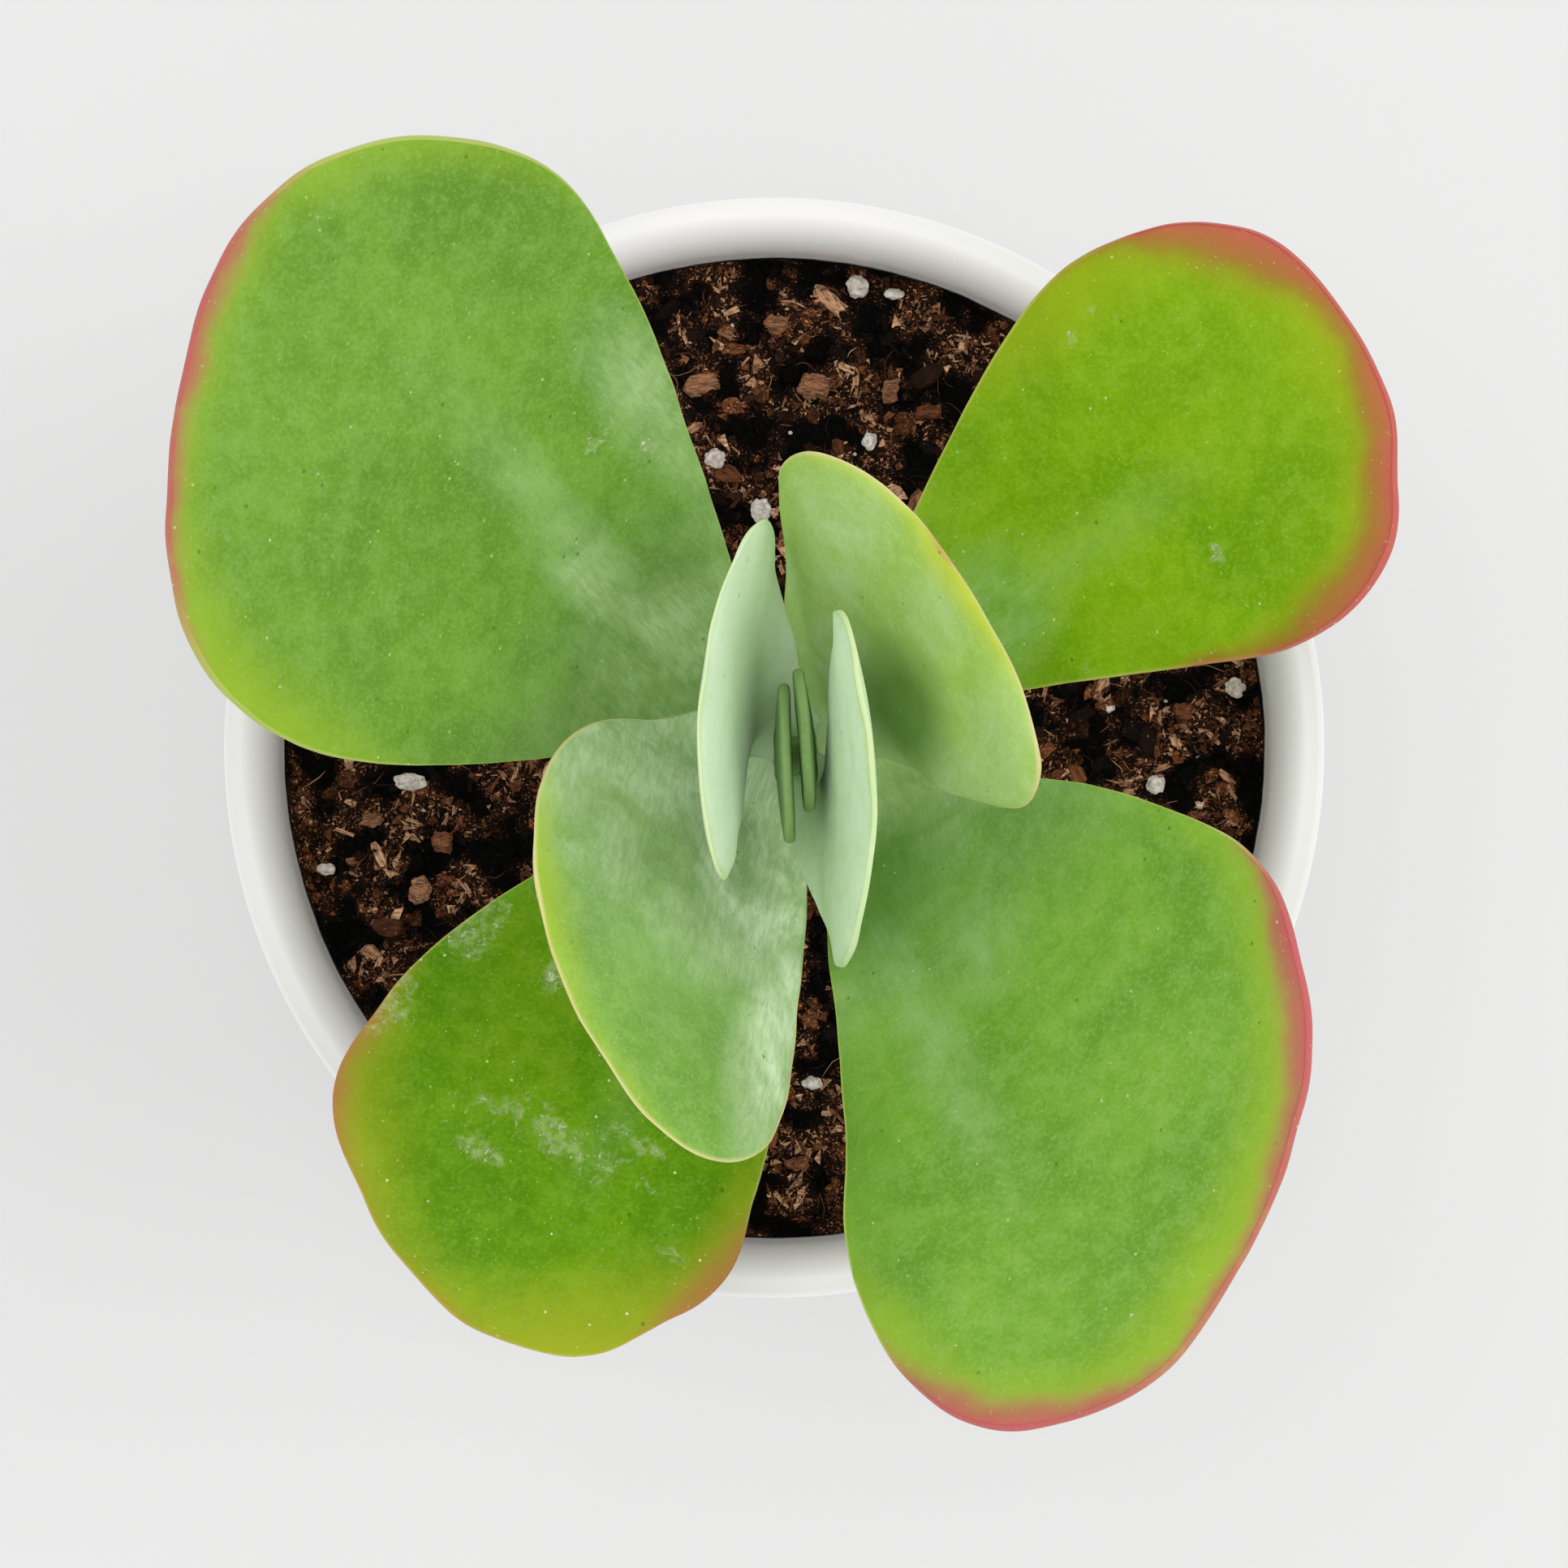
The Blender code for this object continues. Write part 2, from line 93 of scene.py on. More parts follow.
# Sizes on the leaves
LEAF_MIDDLE = 0.62  # where the blade's middle lies, as a share of its length
SWELL_SIZE = 19 * MM
WAVE_SIZE = 13 * MM
FINE_SIZE = 5.5 * MM
WAVY_EDGE = 9 * MM  # how far in from the edge the wave reaches
THIN_EDGE = 6 * MM
STRETCH_EDGE = 18 * MM
CHANNEL_WIDTH = 1.8 * MM
FOOT_REACH = 7 * MM  # the part of a leaf that closes onto the stem


# Materials


def colour(red, green, blue):
    """A colour as it looks on screen, from 0 to 255, as the linear colour that a shader takes."""
    shares = (red / 255, green / 255, blue / 255)
    return (*(c / 12.92 if c <= 0.04045 else ((c + 0.055) / 1.055) ** 2.4 for c in shares), 1)


class Paint:
    """A material and its nodes. Textures lie in the object's own space, with sizes in millimetres."""

    def __init__(self, name, roughness=0.5, specular=0.5):
        self.material = bpy.data.materials.new(name)
        self.material.use_nodes = True
        self.tree = self.material.node_tree
        self.shader = self.tree.nodes["Principled BSDF"]
        self.shader.inputs["Roughness"].default_value = roughness
        self.shader.inputs["Specular IOR Level"].default_value = specular
        place = self.tree.nodes.new("ShaderNodeTexCoord").outputs["Object"]
        self.place = self.scaled(place, 1 / MM)

    def node(self, kind, inputs=(), **settings):
        made = self.tree.nodes.new(kind)
        for key, value in settings.items():
            setattr(made, key, value)
        for key, value in dict(inputs).items():
            self.feed(made.inputs[key], value)
        return made

    def feed(self, socket, value):
        if isinstance(value, bpy.types.NodeSocket):
            self.tree.links.new(value, socket)
        else:
            socket.default_value = value

    def scaled(self, vector, share):
        share = (share, share, share) if isinstance(share, (int, float)) else share
        return self.node("ShaderNodeVectorMath", {0: vector, 1: share}, operation="MULTIPLY").outputs[0]

    def math(self, operation, a, b=0.0, c=0.0, clamp=False):
        inputs = {0: a, 1: b, 2: c} if operation == "MULTIPLY_ADD" else {0: a, 1: b}
        return self.node("ShaderNodeMath", inputs, operation=operation, use_clamp=clamp).outputs[0]

    def times(self, a, b, clamp=False):
        return self.math("MULTIPLY", a, b, clamp=clamp)

    def larger(self, a, b):
        return self.math("MAXIMUM", a, b)

    def noise(self, size, detail=3.0, roughness=0.5, distortion=0.0, place=None):
        """Cloudy noise whose features are about that many millimetres across, from 0 to 1."""
        inputs = {
            "Vector": place or self.place,
            "Scale": 1 / size,
            "Detail": detail,
            "Roughness": roughness,
            "Distortion": distortion,
        }
        return self.node("ShaderNodeTexNoise", inputs).outputs["Fac"]

    def cells(self, size, place=None):
        """How far it is to the nearest of many scattered points, as a share of their spacing."""
        inputs = {"Vector": place or self.place, "Scale": 1 / size}
        return self.node("ShaderNodeTexVoronoi", inputs).outputs["Distance"]

    def attribute(self, name, output="Fac"):
        return self.node("ShaderNodeAttribute", attribute_name=name).outputs[output]

    def step(self, value, low, high, start=0.0, end=1.0):
        """A smooth step: start up to low, end beyond high."""
        inputs = {"Value": value, "From Min": low, "From Max": high, "To Min": start, "To Max": end}
        return self.node("ShaderNodeMapRange", inputs, interpolation_type="SMOOTHSTEP").outputs["Result"]

    def mix(self, share, a, b):
        made = self.node("ShaderNodeMix", data_type="RGBA", blend_type="MIX")
        made.clamp_factor = True
        for socket, value in ((made.inputs[0], share), (made.inputs[6], a), (made.inputs[7], b)):
            self.feed(socket, value)
        return made.outputs[2]

    def over(self, tint, top, mask, share=1.0):
        """Lays another tint over one where the mask is, at a share of full strength."""
        return self.mix(mask if share == 1.0 else self.times(mask, share), tint, top)

    def ramp(self, value, stops):
        made = self.node("ShaderNodeValToRGB", {"Fac": value})
        elements = made.color_ramp.elements
        while len(elements) < len(stops):
            elements.new(1.0)
        for element, (position, tint) in zip(elements, stops):
            element.position = position
            element.color = tint
        return made.outputs["Color"]

    def bump(self, height, depth, below=None):
        """Relief whose height of 1 is that many millimetres deep."""
        inputs = {"Height": height, "Strength": 1.0, "Distance": depth * MM}
        if below:
            inputs["Normal"] = below
        return self.node("ShaderNodeBump", inputs).outputs["Normal"]

    def finish(self, tint, roughness=None, normal=None):
        self.feed(self.shader.inputs["Base Color"], tint)
        if roughness is not None:
            self.feed(self.shader.inputs["Roughness"], roughness)
        if normal is not None:
            self.feed(self.shader.inputs["Normal"], normal)
        return self.material


def glaze_material():
    """White glaze: soft clouds in its tone, a painted highlight on the outer edge, a brighter pink tint
    inside as painted light against shade and green bounce, dusted with peat near the mix.
    """
    paint = Paint("white_glaze", specular=0.4)
    tint = paint.mix(paint.noise(30, 3), colour(231, 229, 229), colour(227, 225, 224))
    inside = paint.attribute("inside")
    # Painted light: the inner side is tinted brighter and pinker to offset its shade and the green light
    # bounced from the leaves
    tint = paint.over(tint, colour(242, 236, 240), inside)
    # Painted highlight: a thin brighter band along the rim's outer edge
    tint = paint.over(tint, colour(244, 244, 243), paint.attribute("edge"))
    height = paint.node("ShaderNodeSeparateXYZ", {0: paint.place}).outputs["Z"]
    near_mix = paint.step(height, SOIL_TOP / MM + 4, SOIL_TOP / MM - 1)
    grime = paint.times(paint.times(near_mix, inside), paint.step(paint.noise(2.2, 4), 0.35, 0.7))
    tint = paint.over(tint, colour(150, 135, 118), grime, 0.30)
    unglazed = paint.attribute("foot")
    clay = paint.mix(paint.noise(0.8, 4), colour(206, 200, 188), colour(186, 179, 166))
    tint = paint.over(tint, clay, unglazed)
    gloss = paint.step(paint.noise(12, 3), 0.3, 0.7, 0.30, 0.38)
    gloss = paint.larger(gloss, paint.times(unglazed, 0.8))
    relief = paint.bump(paint.times(unglazed, paint.noise(0.5, 3)), 0.12)
    return paint.finish(tint, gloss, relief)


def peat_material(name, dark, light):
    """Peat: near black in its hollows, partly its own dark colour and partly painted shade of the deep gaps,
    browner on what stands up, with fine fibres all over.
    """
    paint = Paint(name, roughness=0.85, specular=0.08)
    tone = paint.attribute("tone")
    strand = paint.noise(0.35, 3, 0.6, 1.2, paint.scaled(paint.place, (1, 0.25, 1)))
    mixed = paint.math("MULTIPLY_ADD", paint.noise(0.5, 5, 0.65), 0.55, paint.times(strand, 0.45))
    # Near black where the tone is low: the peat's own dark colour, pushed darker as painted shade of the gaps
    # in the mix
    tint = paint.mix(paint.times(paint.step(mixed, 0.34, 0.66), tone), dark, light)
    # Pale tan flecks where the mix is brown: partly light fibres, partly painted glints
    fleck_and_glint = paint.times(paint.step(paint.noise(0.3, 3), 0.58, 0.68), tone)
    tint = paint.over(tint, colour(218, 156, 114), fleck_and_glint, 0.8)
    gloss = paint.step(paint.noise(0.7, 3), 0.35, 0.65, 0.75, 0.95)
    return paint.finish(tint, gloss, paint.bump(mixed, 0.35))


def bark_material():
    """Bark and wood chips: long grain, split edges and one tone for each chip."""
    paint = Paint("bark", roughness=0.8, specular=0.10)
    grain = paint.noise(0.3, 4, 0.6, 0.6, paint.scaled(paint.attribute("grain", "Vector"), (0.22, 1, 1)))
    black, brown, tan, cream = colour(6, 3, 2), colour(38, 20, 13), colour(132, 78, 48), colour(232, 178, 140)
    tint = paint.ramp(paint.attribute("tone"), [(0.0, black), (0.3, brown), (0.65, tan), (1.0, cream)])
    tint = paint.mix(paint.step(grain, 0.36, 0.62), paint.mix(0.75, tint, colour(12, 6, 4)), tint)
    tint = paint.over(tint, colour(206, 158, 122), paint.step(paint.noise(0.45, 3), 0.66, 0.76), 0.5)
    return paint.finish(tint, paint.step(grain, 0.3, 0.7, 0.62, 0.9), paint.bump(grain, 0.22))


def fibre_material():
    paint = Paint("peat_fibre", roughness=0.6, specular=0.15)
    dark, brown, tan = colour(30, 15, 9), colour(120, 72, 44), colour(200, 150, 112)
    tint = paint.ramp(paint.attribute("tone"), [(0.0, dark), (0.6, brown), (1.0, tan)])
    tint = paint.over(tint, colour(34, 18, 12), paint.noise(0.4, 3), 0.5)
    return paint.finish(tint, None, paint.bump(paint.noise(0.2, 2), 0.05))


def perlite_material():
    """Perlite: chalky white, pitted, with brown peat dust in the pits."""
    paint = Paint("perlite", roughness=0.9, specular=0.2)
    pits = paint.cells(0.42)
    dust = paint.step(paint.noise(0.6, 4, 0.6), 0.48, 0.70)
    clouds = paint.step(paint.noise(1.0, 3), 0.3, 0.7)
    tint = paint.mix(clouds, colour(226, 220, 213), colour(196, 184, 174))
    tint = paint.over(tint, colour(136, 106, 86), dust, 0.55)
    tint = paint.over(tint, colour(104, 82, 68), paint.step(pits, 0.16, 0.05))
    relief = paint.bump(paint.math("MINIMUM", pits, 0.35), 0.35)
    return paint.finish(tint, None, paint.bump(paint.noise(0.18, 2), 0.08, relief))


def root_material():
    paint = Paint("roots", roughness=0.9, specular=0.2)
    fibres = paint.noise(0.5, 4, 0.6, 0.8, paint.scaled(paint.place, (1, 1, 0.2)))
    tint = paint.mix(paint.step(fibres, 0.35, 0.65), colour(150, 118, 84), colour(206, 178, 138))
    return paint.finish(tint, None, paint.bump(fibres, 0.15))


def stem_material():
    """The stem: corky and brown low down, green with a pale bloom higher up, with pale rings at its nodes."""
    paint = Paint("stem", roughness=0.55, specular=0.3)
    low_down = paint.step(paint.attribute("height"), 0.42, 0.05)
    cork = paint.times(low_down, paint.step(paint.noise(1.6, 4), 0.3, 0.62))
    green = paint.mix(paint.noise(2.5, 4), colour(120, 156, 82), colour(150, 180, 112))
    streak = paint.noise(0.6, 4, 0.6, 0.5, paint.scaled(paint.place, (1, 1, 0.18)))
    green = paint.over(green, colour(176, 196, 140), paint.step(streak, 0.5, 0.72), 0.5)
    brown = paint.mix(paint.step(streak, 0.35, 0.65), colour(122, 98, 62), colour(170, 146, 100))
    tint = paint.mix(cork, green, brown)
    tint = paint.over(tint, colour(196, 202, 150), paint.attribute("ring"), 0.7)
    relief = paint.bump(cork, 0.2, paint.bump(streak, 0.12))
    return paint.finish(tint, paint.step(cork, 0.0, 1.0, 0.5, 0.85), relief)


def leaf_material(name, looks, scaly):
    """A fleshy leaf's skin, with patches of dry scale if it is scaly.

    Attributes on the mesh: margin is the distance in from the edge in mm, blush and gold how strongly the
    nearby edge turns red or yellow, along runs from foot to tip, under is 1 on the lower side, and blade is
    the place on the leaf in mm (along, across, through). Frost, fresh and scale mark patches: of thicker
    bloom, which is partly painted light where a leaf lies too dim; of painted shade, a deeper green where
    other leaves lie above; and of dry white scale.
    """
    looks = {key: colour(*value) if isinstance(value, tuple) else value for key, value in looks.items()}
    paint = Paint("leaf_" + name, specular=looks["specular"])
    margin, along, under = paint.attribute("margin"), paint.attribute("along"), paint.attribute("under")
    blush, gold = paint.attribute("blush"), paint.attribute("gold")
    blade = paint.attribute("blade", "Vector")

    # Green flesh: broad clouds, mottling, and a fine tissue grain with darker pores
    cloud = paint.noise(17, 3, 0.5, 0.6)
    tint = paint.mix(paint.step(cloud, 0.32, 0.68), looks["deep"], looks["green"])
    mottle = paint.noise(2.6, 5, 0.62)
    tint = paint.over(tint, looks["light"], paint.step(mottle, 0.44, 0.66), 0.32)
    tint = paint.over(tint, looks["deep"], paint.step(mottle, 0.50, 0.32), 0.40)
    grain = paint.noise(0.5, 4, 0.65)
    tint = paint.over(tint, looks["light"], paint.step(grain, 0.46, 0.68), 0.42)
    tint = paint.over(tint, looks["deep"], paint.step(grain, 0.46, 0.30), 0.45)

    # Pale waxy bloom, thickest at the foot and along the midrib, brushed into short streaks
    across = paint.math("ABSOLUTE", paint.node("ShaderNodeSeparateXYZ", {0: blade}).outputs["Y"])
    from_foot = paint.step(along, looks["bloom_end"], 0.06)
    rib = paint.times(paint.step(across, looks["bloom_rib"], 0.0), paint.step(along, 0.85, 0.15))
    patches = paint.step(paint.noise(9, 4, 0.55, 0.8), 0.30, 0.70)
    # Frost patches: thicker bloom, and partly painted light on parts of leaves that lie too dim
    bloom = paint.larger(paint.larger(from_foot, rib), paint.attribute("frost_and_painted_light"))
    bloom = paint.times(bloom, paint.math("MULTIPLY_ADD", patches, 0.6, 0.4))
    streaks = paint.noise(0.7, 4, 0.65, 0.8, paint.scaled(blade, (0.22, 1, 1)))
    bloom = paint.times(bloom, paint.step(streaks, 0.34, 0.64, 0.68, 1.06))
    bloom = paint.larger(bloom, paint.times(under, looks["bloom_under"]))
    bloom = paint.times(bloom, looks["bloom"], clamp=True)
    tint = paint.over(tint, looks["bloom_tint"], bloom)
    # Painted shade: patches of deeper green where other leaves lie above
    tint = paint.over(tint, looks["fresh"], paint.attribute("fresh"), 0.75)

    # The edge: yellow, then tan, rose and pink, wandering in and out a little
    wander = paint.math("MULTIPLY_ADD", paint.noise(7, 3, 0.6), 3.0, -1.5)
    inward = paint.larger(paint.math("ADD", margin, wander), 0.0)

    def fading(strength, reach):
        """1 at the edge, falling to 0 at that many millimetres in where the strength is full."""
        reach = paint.math("MULTIPLY_ADD", strength, reach, 0.05)
        return paint.math("SUBTRACT", 1.0, paint.math("DIVIDE", inward, reach), clamp=True)

    yellow = paint.times(paint.step(fading(gold, looks["gold_reach"]), 0.0, 1.0), gold)
    tint = paint.over(tint, looks["gold"], yellow, 0.85)
    red = paint.math("POWER", fading(blush, looks["blush_reach"]), 1.6)
    red = paint.times(red, paint.math("MINIMUM", paint.times(blush, 1.3), 1.0))
    stops = {0.05: "olive", 0.38: "tan", 0.70: "rose", 1.0: "pink"}
    warm = paint.ramp(red, [(position, looks[key]) for position, key in stops.items()])
    tint = paint.over(tint, warm, paint.step(red, 0.0, 0.6), 0.92)

    # Lower side: duller and paler, with darker mottling and long faint veins
    tint = paint.over(tint, looks["bloom_tint"], under, 0.18)
    veins = paint.step(paint.noise(2.2, 3, 0.6, 0.4, paint.scaled(blade, (0.18, 1, 1))), 0.50, 0.66)
    blotch = paint.larger(paint.times(veins, 0.6), paint.step(paint.noise(5, 4, 0.6), 0.50, 0.64))
    tint = paint.over(tint, looks["deep"], paint.times(under, blotch), 0.30)

    # A thin line along the edge, pale or pink like the skin beside it: partly paler skin where it folds over
    # the edge, partly a painted highlight where light catches the edge
    line = paint.step(margin, looks["line_width"], looks["line_width"] * 0.25)
    pale = paint.mix(paint.step(red, 0.1, 0.7), looks["line_tint"], looks["pink"])
    tint = paint.over(tint, pale, line, looks["line"])

    # Small marks: pale specks, short hair-like scratches, and sunken dark dots
    for spacing, size, patch, share in ((2.1, 0.10, 5.5, 1.0), (0.95, 0.14, 3.0, 0.5)):
        speck = paint.step(paint.cells(spacing), size, size / 2)
        speck = paint.times(speck, paint.step(paint.noise(patch, 2), 0.45, 0.6))
        tint = paint.over(tint, colour(206, 222, 160), speck, looks["specks"] * share)
    turned = paint.node("ShaderNodeVectorRotate", {"Vector": blade, "Angle": 1.1}, rotation_type="Z_AXIS")
    hairs = [
        paint.step(paint.noise(0.34, 1, 0.5, 0.4, paint.scaled(way, (0.28, 1, 1))), 0.68, 0.76)
        for way in (blade, turned.outputs[0])
    ]
    hair = paint.larger(*hairs)
    tint = paint.over(tint, looks["bloom_tint"], hair, looks["hairs"])
    dots = paint.step(paint.cells(3.4, paint.scaled(paint.place, (1, 1, 1.3))), 0.085, 0.045)
    dots = paint.times(dots, paint.step(paint.noise(8, 2), 0.46, 0.6))
    tint = paint.over(tint, looks["dot"], dots, 0.6)

    gloss = paint.step(mottle, 0.3, 0.7, looks["roughness"] - 0.05, looks["roughness"] + 0.06)
    gloss = paint.math("MULTIPLY_ADD", bloom, 0.2, gloss)
    relief = paint.bump(paint.noise(2.6, 3, 0.5), 0.10)
    relief = paint.bump(grain, 0.035, relief)
    relief = paint.bump(paint.math("SUBTRACT", paint.times(hair, 0.5), dots), 0.05, relief)

    # Dry white scale left by water and by leaves that have rubbed together: a thin film under broken flakes
    if scaly:
        marked = paint.attribute("scale")
        ragged = paint.math("MULTIPLY_ADD", paint.noise(2.4, 4, 0.65, 1.0), 2.4, -1.2)
        patch = paint.step(paint.math("ADD", marked, ragged), 0.30, 0.75)
        patch = paint.times(patch, paint.step(marked, 0.0, 0.25))
        film = paint.times(patch, paint.step(paint.noise(1.2, 4, 0.6), 0.35, 0.65))
        tint = paint.over(tint, colour(196, 212, 150), film, 0.34)
        broken = paint.step(paint.noise(1.1, 6, 0.75, 1.6), 0.53, 0.60)
        crust = paint.times(patch, broken, clamp=True)
        tint = paint.over(tint, colour(216, 226, 186), crust, 0.75)
        relief = paint.bump(crust, 0.04, relief)

    paint.shader.inputs["Subsurface Weight"].default_value = looks["glow"]
    paint.shader.inputs["Subsurface Radius"].default_value = (0.9, 1.0, 0.25)
    paint.shader.inputs["Subsurface Scale"].default_value = 1.6 * MM
    return paint.finish(tint, gloss, relief)


# Looks of the leaves: tints from 0 to 255, distances in millimetres, and strengths from 0 to 1
# Each look also holds a deeper green used as painted shade where other leaves lie above
OLD_LOOKS = dict(
    deep=(104, 152, 6), green=(128, 170, 12), light=(148, 184, 48), fresh=(98, 146, 6),
    bloom=0.75, bloom_tint=(158, 200, 122), bloom_end=0.42, bloom_rib=5.0, bloom_under=0.5,
    gold=(152, 172, 22), gold_reach=13, olive=(156, 154, 26), tan=(156, 118, 44), rose=(176, 102, 64),
    pink=(194, 86, 86), blush_reach=10, line=0.7, line_width=0.5, line_tint=(190, 186, 96),
    specks=0.75, hairs=0.15, dot=(58, 104, 10), roughness=0.42, specular=0.08, glow=0.10,
)
OLDEST_LOOKS = dict(
    OLD_LOOKS, deep=(80, 130, 4), green=(106, 152, 10), light=(126, 168, 40), gold=(156, 166, 30),
    olive=(158, 150, 40), tan=(162, 132, 52), rose=(168, 116, 64), pink=(180, 104, 80),
    specks=1.0, hairs=0.22,
)
GROWN_LOOKS = dict(
    OLD_LOOKS, deep=(102, 150, 44), green=(123, 170, 56), light=(144, 186, 92), fresh=(88, 138, 30),
    bloom=0.85, bloom_tint=(182, 212, 154), bloom_end=0.50, bloom_rib=6.0, gold=(150, 182, 44),
    gold_reach=10, olive=(154, 162, 60), tan=(166, 134, 78), rose=(176, 104, 86), pink=(194, 82, 98),
    blush_reach=7, line=0.5, line_tint=(198, 200, 116), line_width=0.4, specks=0.6, dot=(64, 112, 30),
    roughness=0.5, specular=0.10,
)
LARGEST_LOOKS = dict(GROWN_LOOKS, deep=(94, 138, 40), green=(114, 158, 52), light=(136, 176, 86))
YOUNG_LOOKS = dict(
    GROWN_LOOKS, deep=(112, 156, 62), green=(130, 174, 76), light=(154, 192, 108), fresh=(110, 154, 60),
    bloom=0.95, bloom_tint=(204, 228, 192), bloom_end=0.9, bloom_rib=4.0, gold=(170, 196, 52),
    gold_reach=7, olive=(196, 186, 88), tan=(206, 172, 98), rose=(212, 154, 104), pink=(218, 160, 120),
    blush_reach=2.6, line=0.85, line_tint=(222, 208, 150), line_width=0.7, specks=0.3, roughness=0.58,
)
BLOOMED_LOOKS = dict(YOUNG_LOOKS, bloom_tint=(228, 244, 212))
CUPPED_LOOKS = dict(
    YOUNG_LOOKS, deep=(162, 200, 90), green=(181, 212, 102), light=(199, 224, 140), fresh=(88, 130, 48),
    bloom_tint=(216, 236, 196), gold=(206, 214, 60),
)
# Inner leaves: pale with thick bloom, their tints raised further as painted light to make up for the shade
# between the upright leaves
INNER_LOOKS = dict(
    YOUNG_LOOKS, deep=(190, 218, 172), green=(204, 230, 188), light=(216, 238, 204),
    bloom_tint=(226, 243, 220), bloom_end=1.6, bloom_under=0.95, gold=(178, 204, 112), gold_reach=2.6,
    blush_reach=0.6, line=0.32, line_tint=(198, 214, 140), line_width=0.4, specks=0.25, hairs=0.14,
    dot=(110, 150, 84), roughness=0.62, specular=0.12,
)
# A still brighter copy for the left inner leaf, whose face lies deeper in shade: painted light
PAINTED_LIGHT_INNER_LOOKS = dict(
    INNER_LOOKS, deep=(204, 228, 190), green=(214, 234, 202), light=(224, 240, 216),
    bloom_tint=(232, 243, 228),
)
TIP_LOOKS = dict(
    INNER_LOOKS, deep=(100, 134, 74), green=(116, 148, 88), light=(136, 164, 108), bloom=0.4,
    bloom_tint=(152, 176, 130), gold=(138, 166, 92), gold_reach=1.2, line=0.5, line_width=0.3,
    line_tint=(140, 166, 104), dot=(58, 84, 40),
)


# Mesh helpers


def new_object(name, data):
    obj = bpy.data.objects.new(name, data)
    bpy.context.scene.collection.objects.link(obj)
    return obj


def piece(name, mesh, material, slot, replaces=(), smooth=True):
    """A finished piece: it rides on the root body and stands for the nodes it replaces. Its slot is not used.
    """
    obj = new_object(name, mesh)
    mesh.materials.append(material)
    if smooth:
        mesh.shade_smooth()
    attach(obj, "root")
    if replaces:
        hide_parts(*replaces)
    return obj


def mesh_of(name, points, faces):
    mesh = bpy.data.meshes.new(name)
    mesh.from_pydata([tuple(p) for p in points], [], faces)
    mesh.update()
    return mesh


def paint_points(mesh, name, values):
    """Stores one number, or one vector, for each vertex."""
    values = np.asarray(values, np.float32)
    kind, field = ("FLOAT", "value") if values.ndim == 1 else ("FLOAT_VECTOR", "vector")
    mesh.attributes.new(name, kind, "POINT").data.foreach_set(field, values.ravel())


def points_of(mesh):
    found = np.zeros(len(mesh.vertices) * 3, np.float32)
    mesh.vertices.foreach_get("co", found)
    return found.reshape(-1, 3).astype(float)


def move_points(mesh, points):
    mesh.vertices.foreach_set("co", points.astype(np.float32).ravel())
    mesh.update()


def applied(obj):
    """A new mesh of the object with its modifiers applied."""
    graph = bpy.context.evaluated_depsgraph_get()
    return bpy.data.meshes.new_from_object(obj.evaluated_get(graph), depsgraph=graph)


def normals_of(mesh):
    found = np.zeros(len(mesh.vertices) * 3, np.float32)
    mesh.vertex_normals.foreach_get("vector", found)
    return found.reshape(-1, 3).astype(float)


def on_circle(radius, step, steps):
    angle = 2 * math.pi * step / steps
    return radius * math.cos(angle), radius * math.sin(angle)


def lathe(name, profile, segments, centre=(0, 0)):
    """Turns (radius, height) points about a vertical axis. A point with no radius closes that end."""
    points, rings, faces = [], [], []
    for radius, height in profile:
        if radius < 1e-6:
            rings.append([len(points)] * segments)
            points.append((centre[0], centre[1], height))
        else:
            rings.append(list(range(len(points), len(points) + segments)))
            for i in range(segments):
                x, y = on_circle(radius, i, segments)
                points.append((centre[0] + x, centre[1] + y, height))
    for low, high in zip(rings, rings[1:]):
        for i in range(segments):
            j = (i + 1) % segments
            corners = [low[i], low[j], high[j], high[i]]
            face = [c for k, c in enumerate(corners) if c != corners[k - 1]]
            if len(face) > 2:
                faces.append(face)
    return mesh_of(name, points, faces)


def rounded(profile, rounds, steps=6):
    """Rounds the corners of a profile: rounds gives a radius for each point that needs one."""
    made = []
    for i, (x, y) in enumerate(profile):
        if i not in rounds:
            made.append((x, y))
            continue
        corner = Vector((x, y))
        before = (Vector(profile[i - 1]) - corner).normalized()
        after = (Vector(profile[i + 1]) - corner).normalized()
        half = before.angle(after) / 2
        reach = rounds[i] / math.tan(half)
        start, end = corner + before * reach, corner + after * reach
        for k in range(steps + 1):
            t = k / steps
            made.append(tuple((1 - t) ** 2 * start + 2 * t * (1 - t) * corner + t * t * end))
    return made


def fbm(point, size, octaves=3):
    """Noise from about -1 to 1 with features of that size in metres."""
    return noise.fractal(point / size, 0.8, 2.1, octaves, noise_basis="PERLIN_ORIGINAL")


# Pot and potting mix


def pot_side():
    """The pot's outer radius as a smooth function of height, through the rings of its packed side."""
    points = points_of(frame["nodes"]["pot"].data)
    radius, height = np.hypot(points[:, 0], points[:, 1]), points[:, 2]
    low, high = 4.9 * MM, pot_high.z - 4 * MM
    foot = radius[np.abs(height - 5 * MM) < 0.1 * MM].max()
    chord = np.interp(height, (low, high), (foot, pot_high.x))
    outside = (height > low) & (height < high + 2 * MM) & (radius > chord - 0.8 * MM)
    return np.polynomial.Polynomial.fit(height[outside], radius[outside], 3)


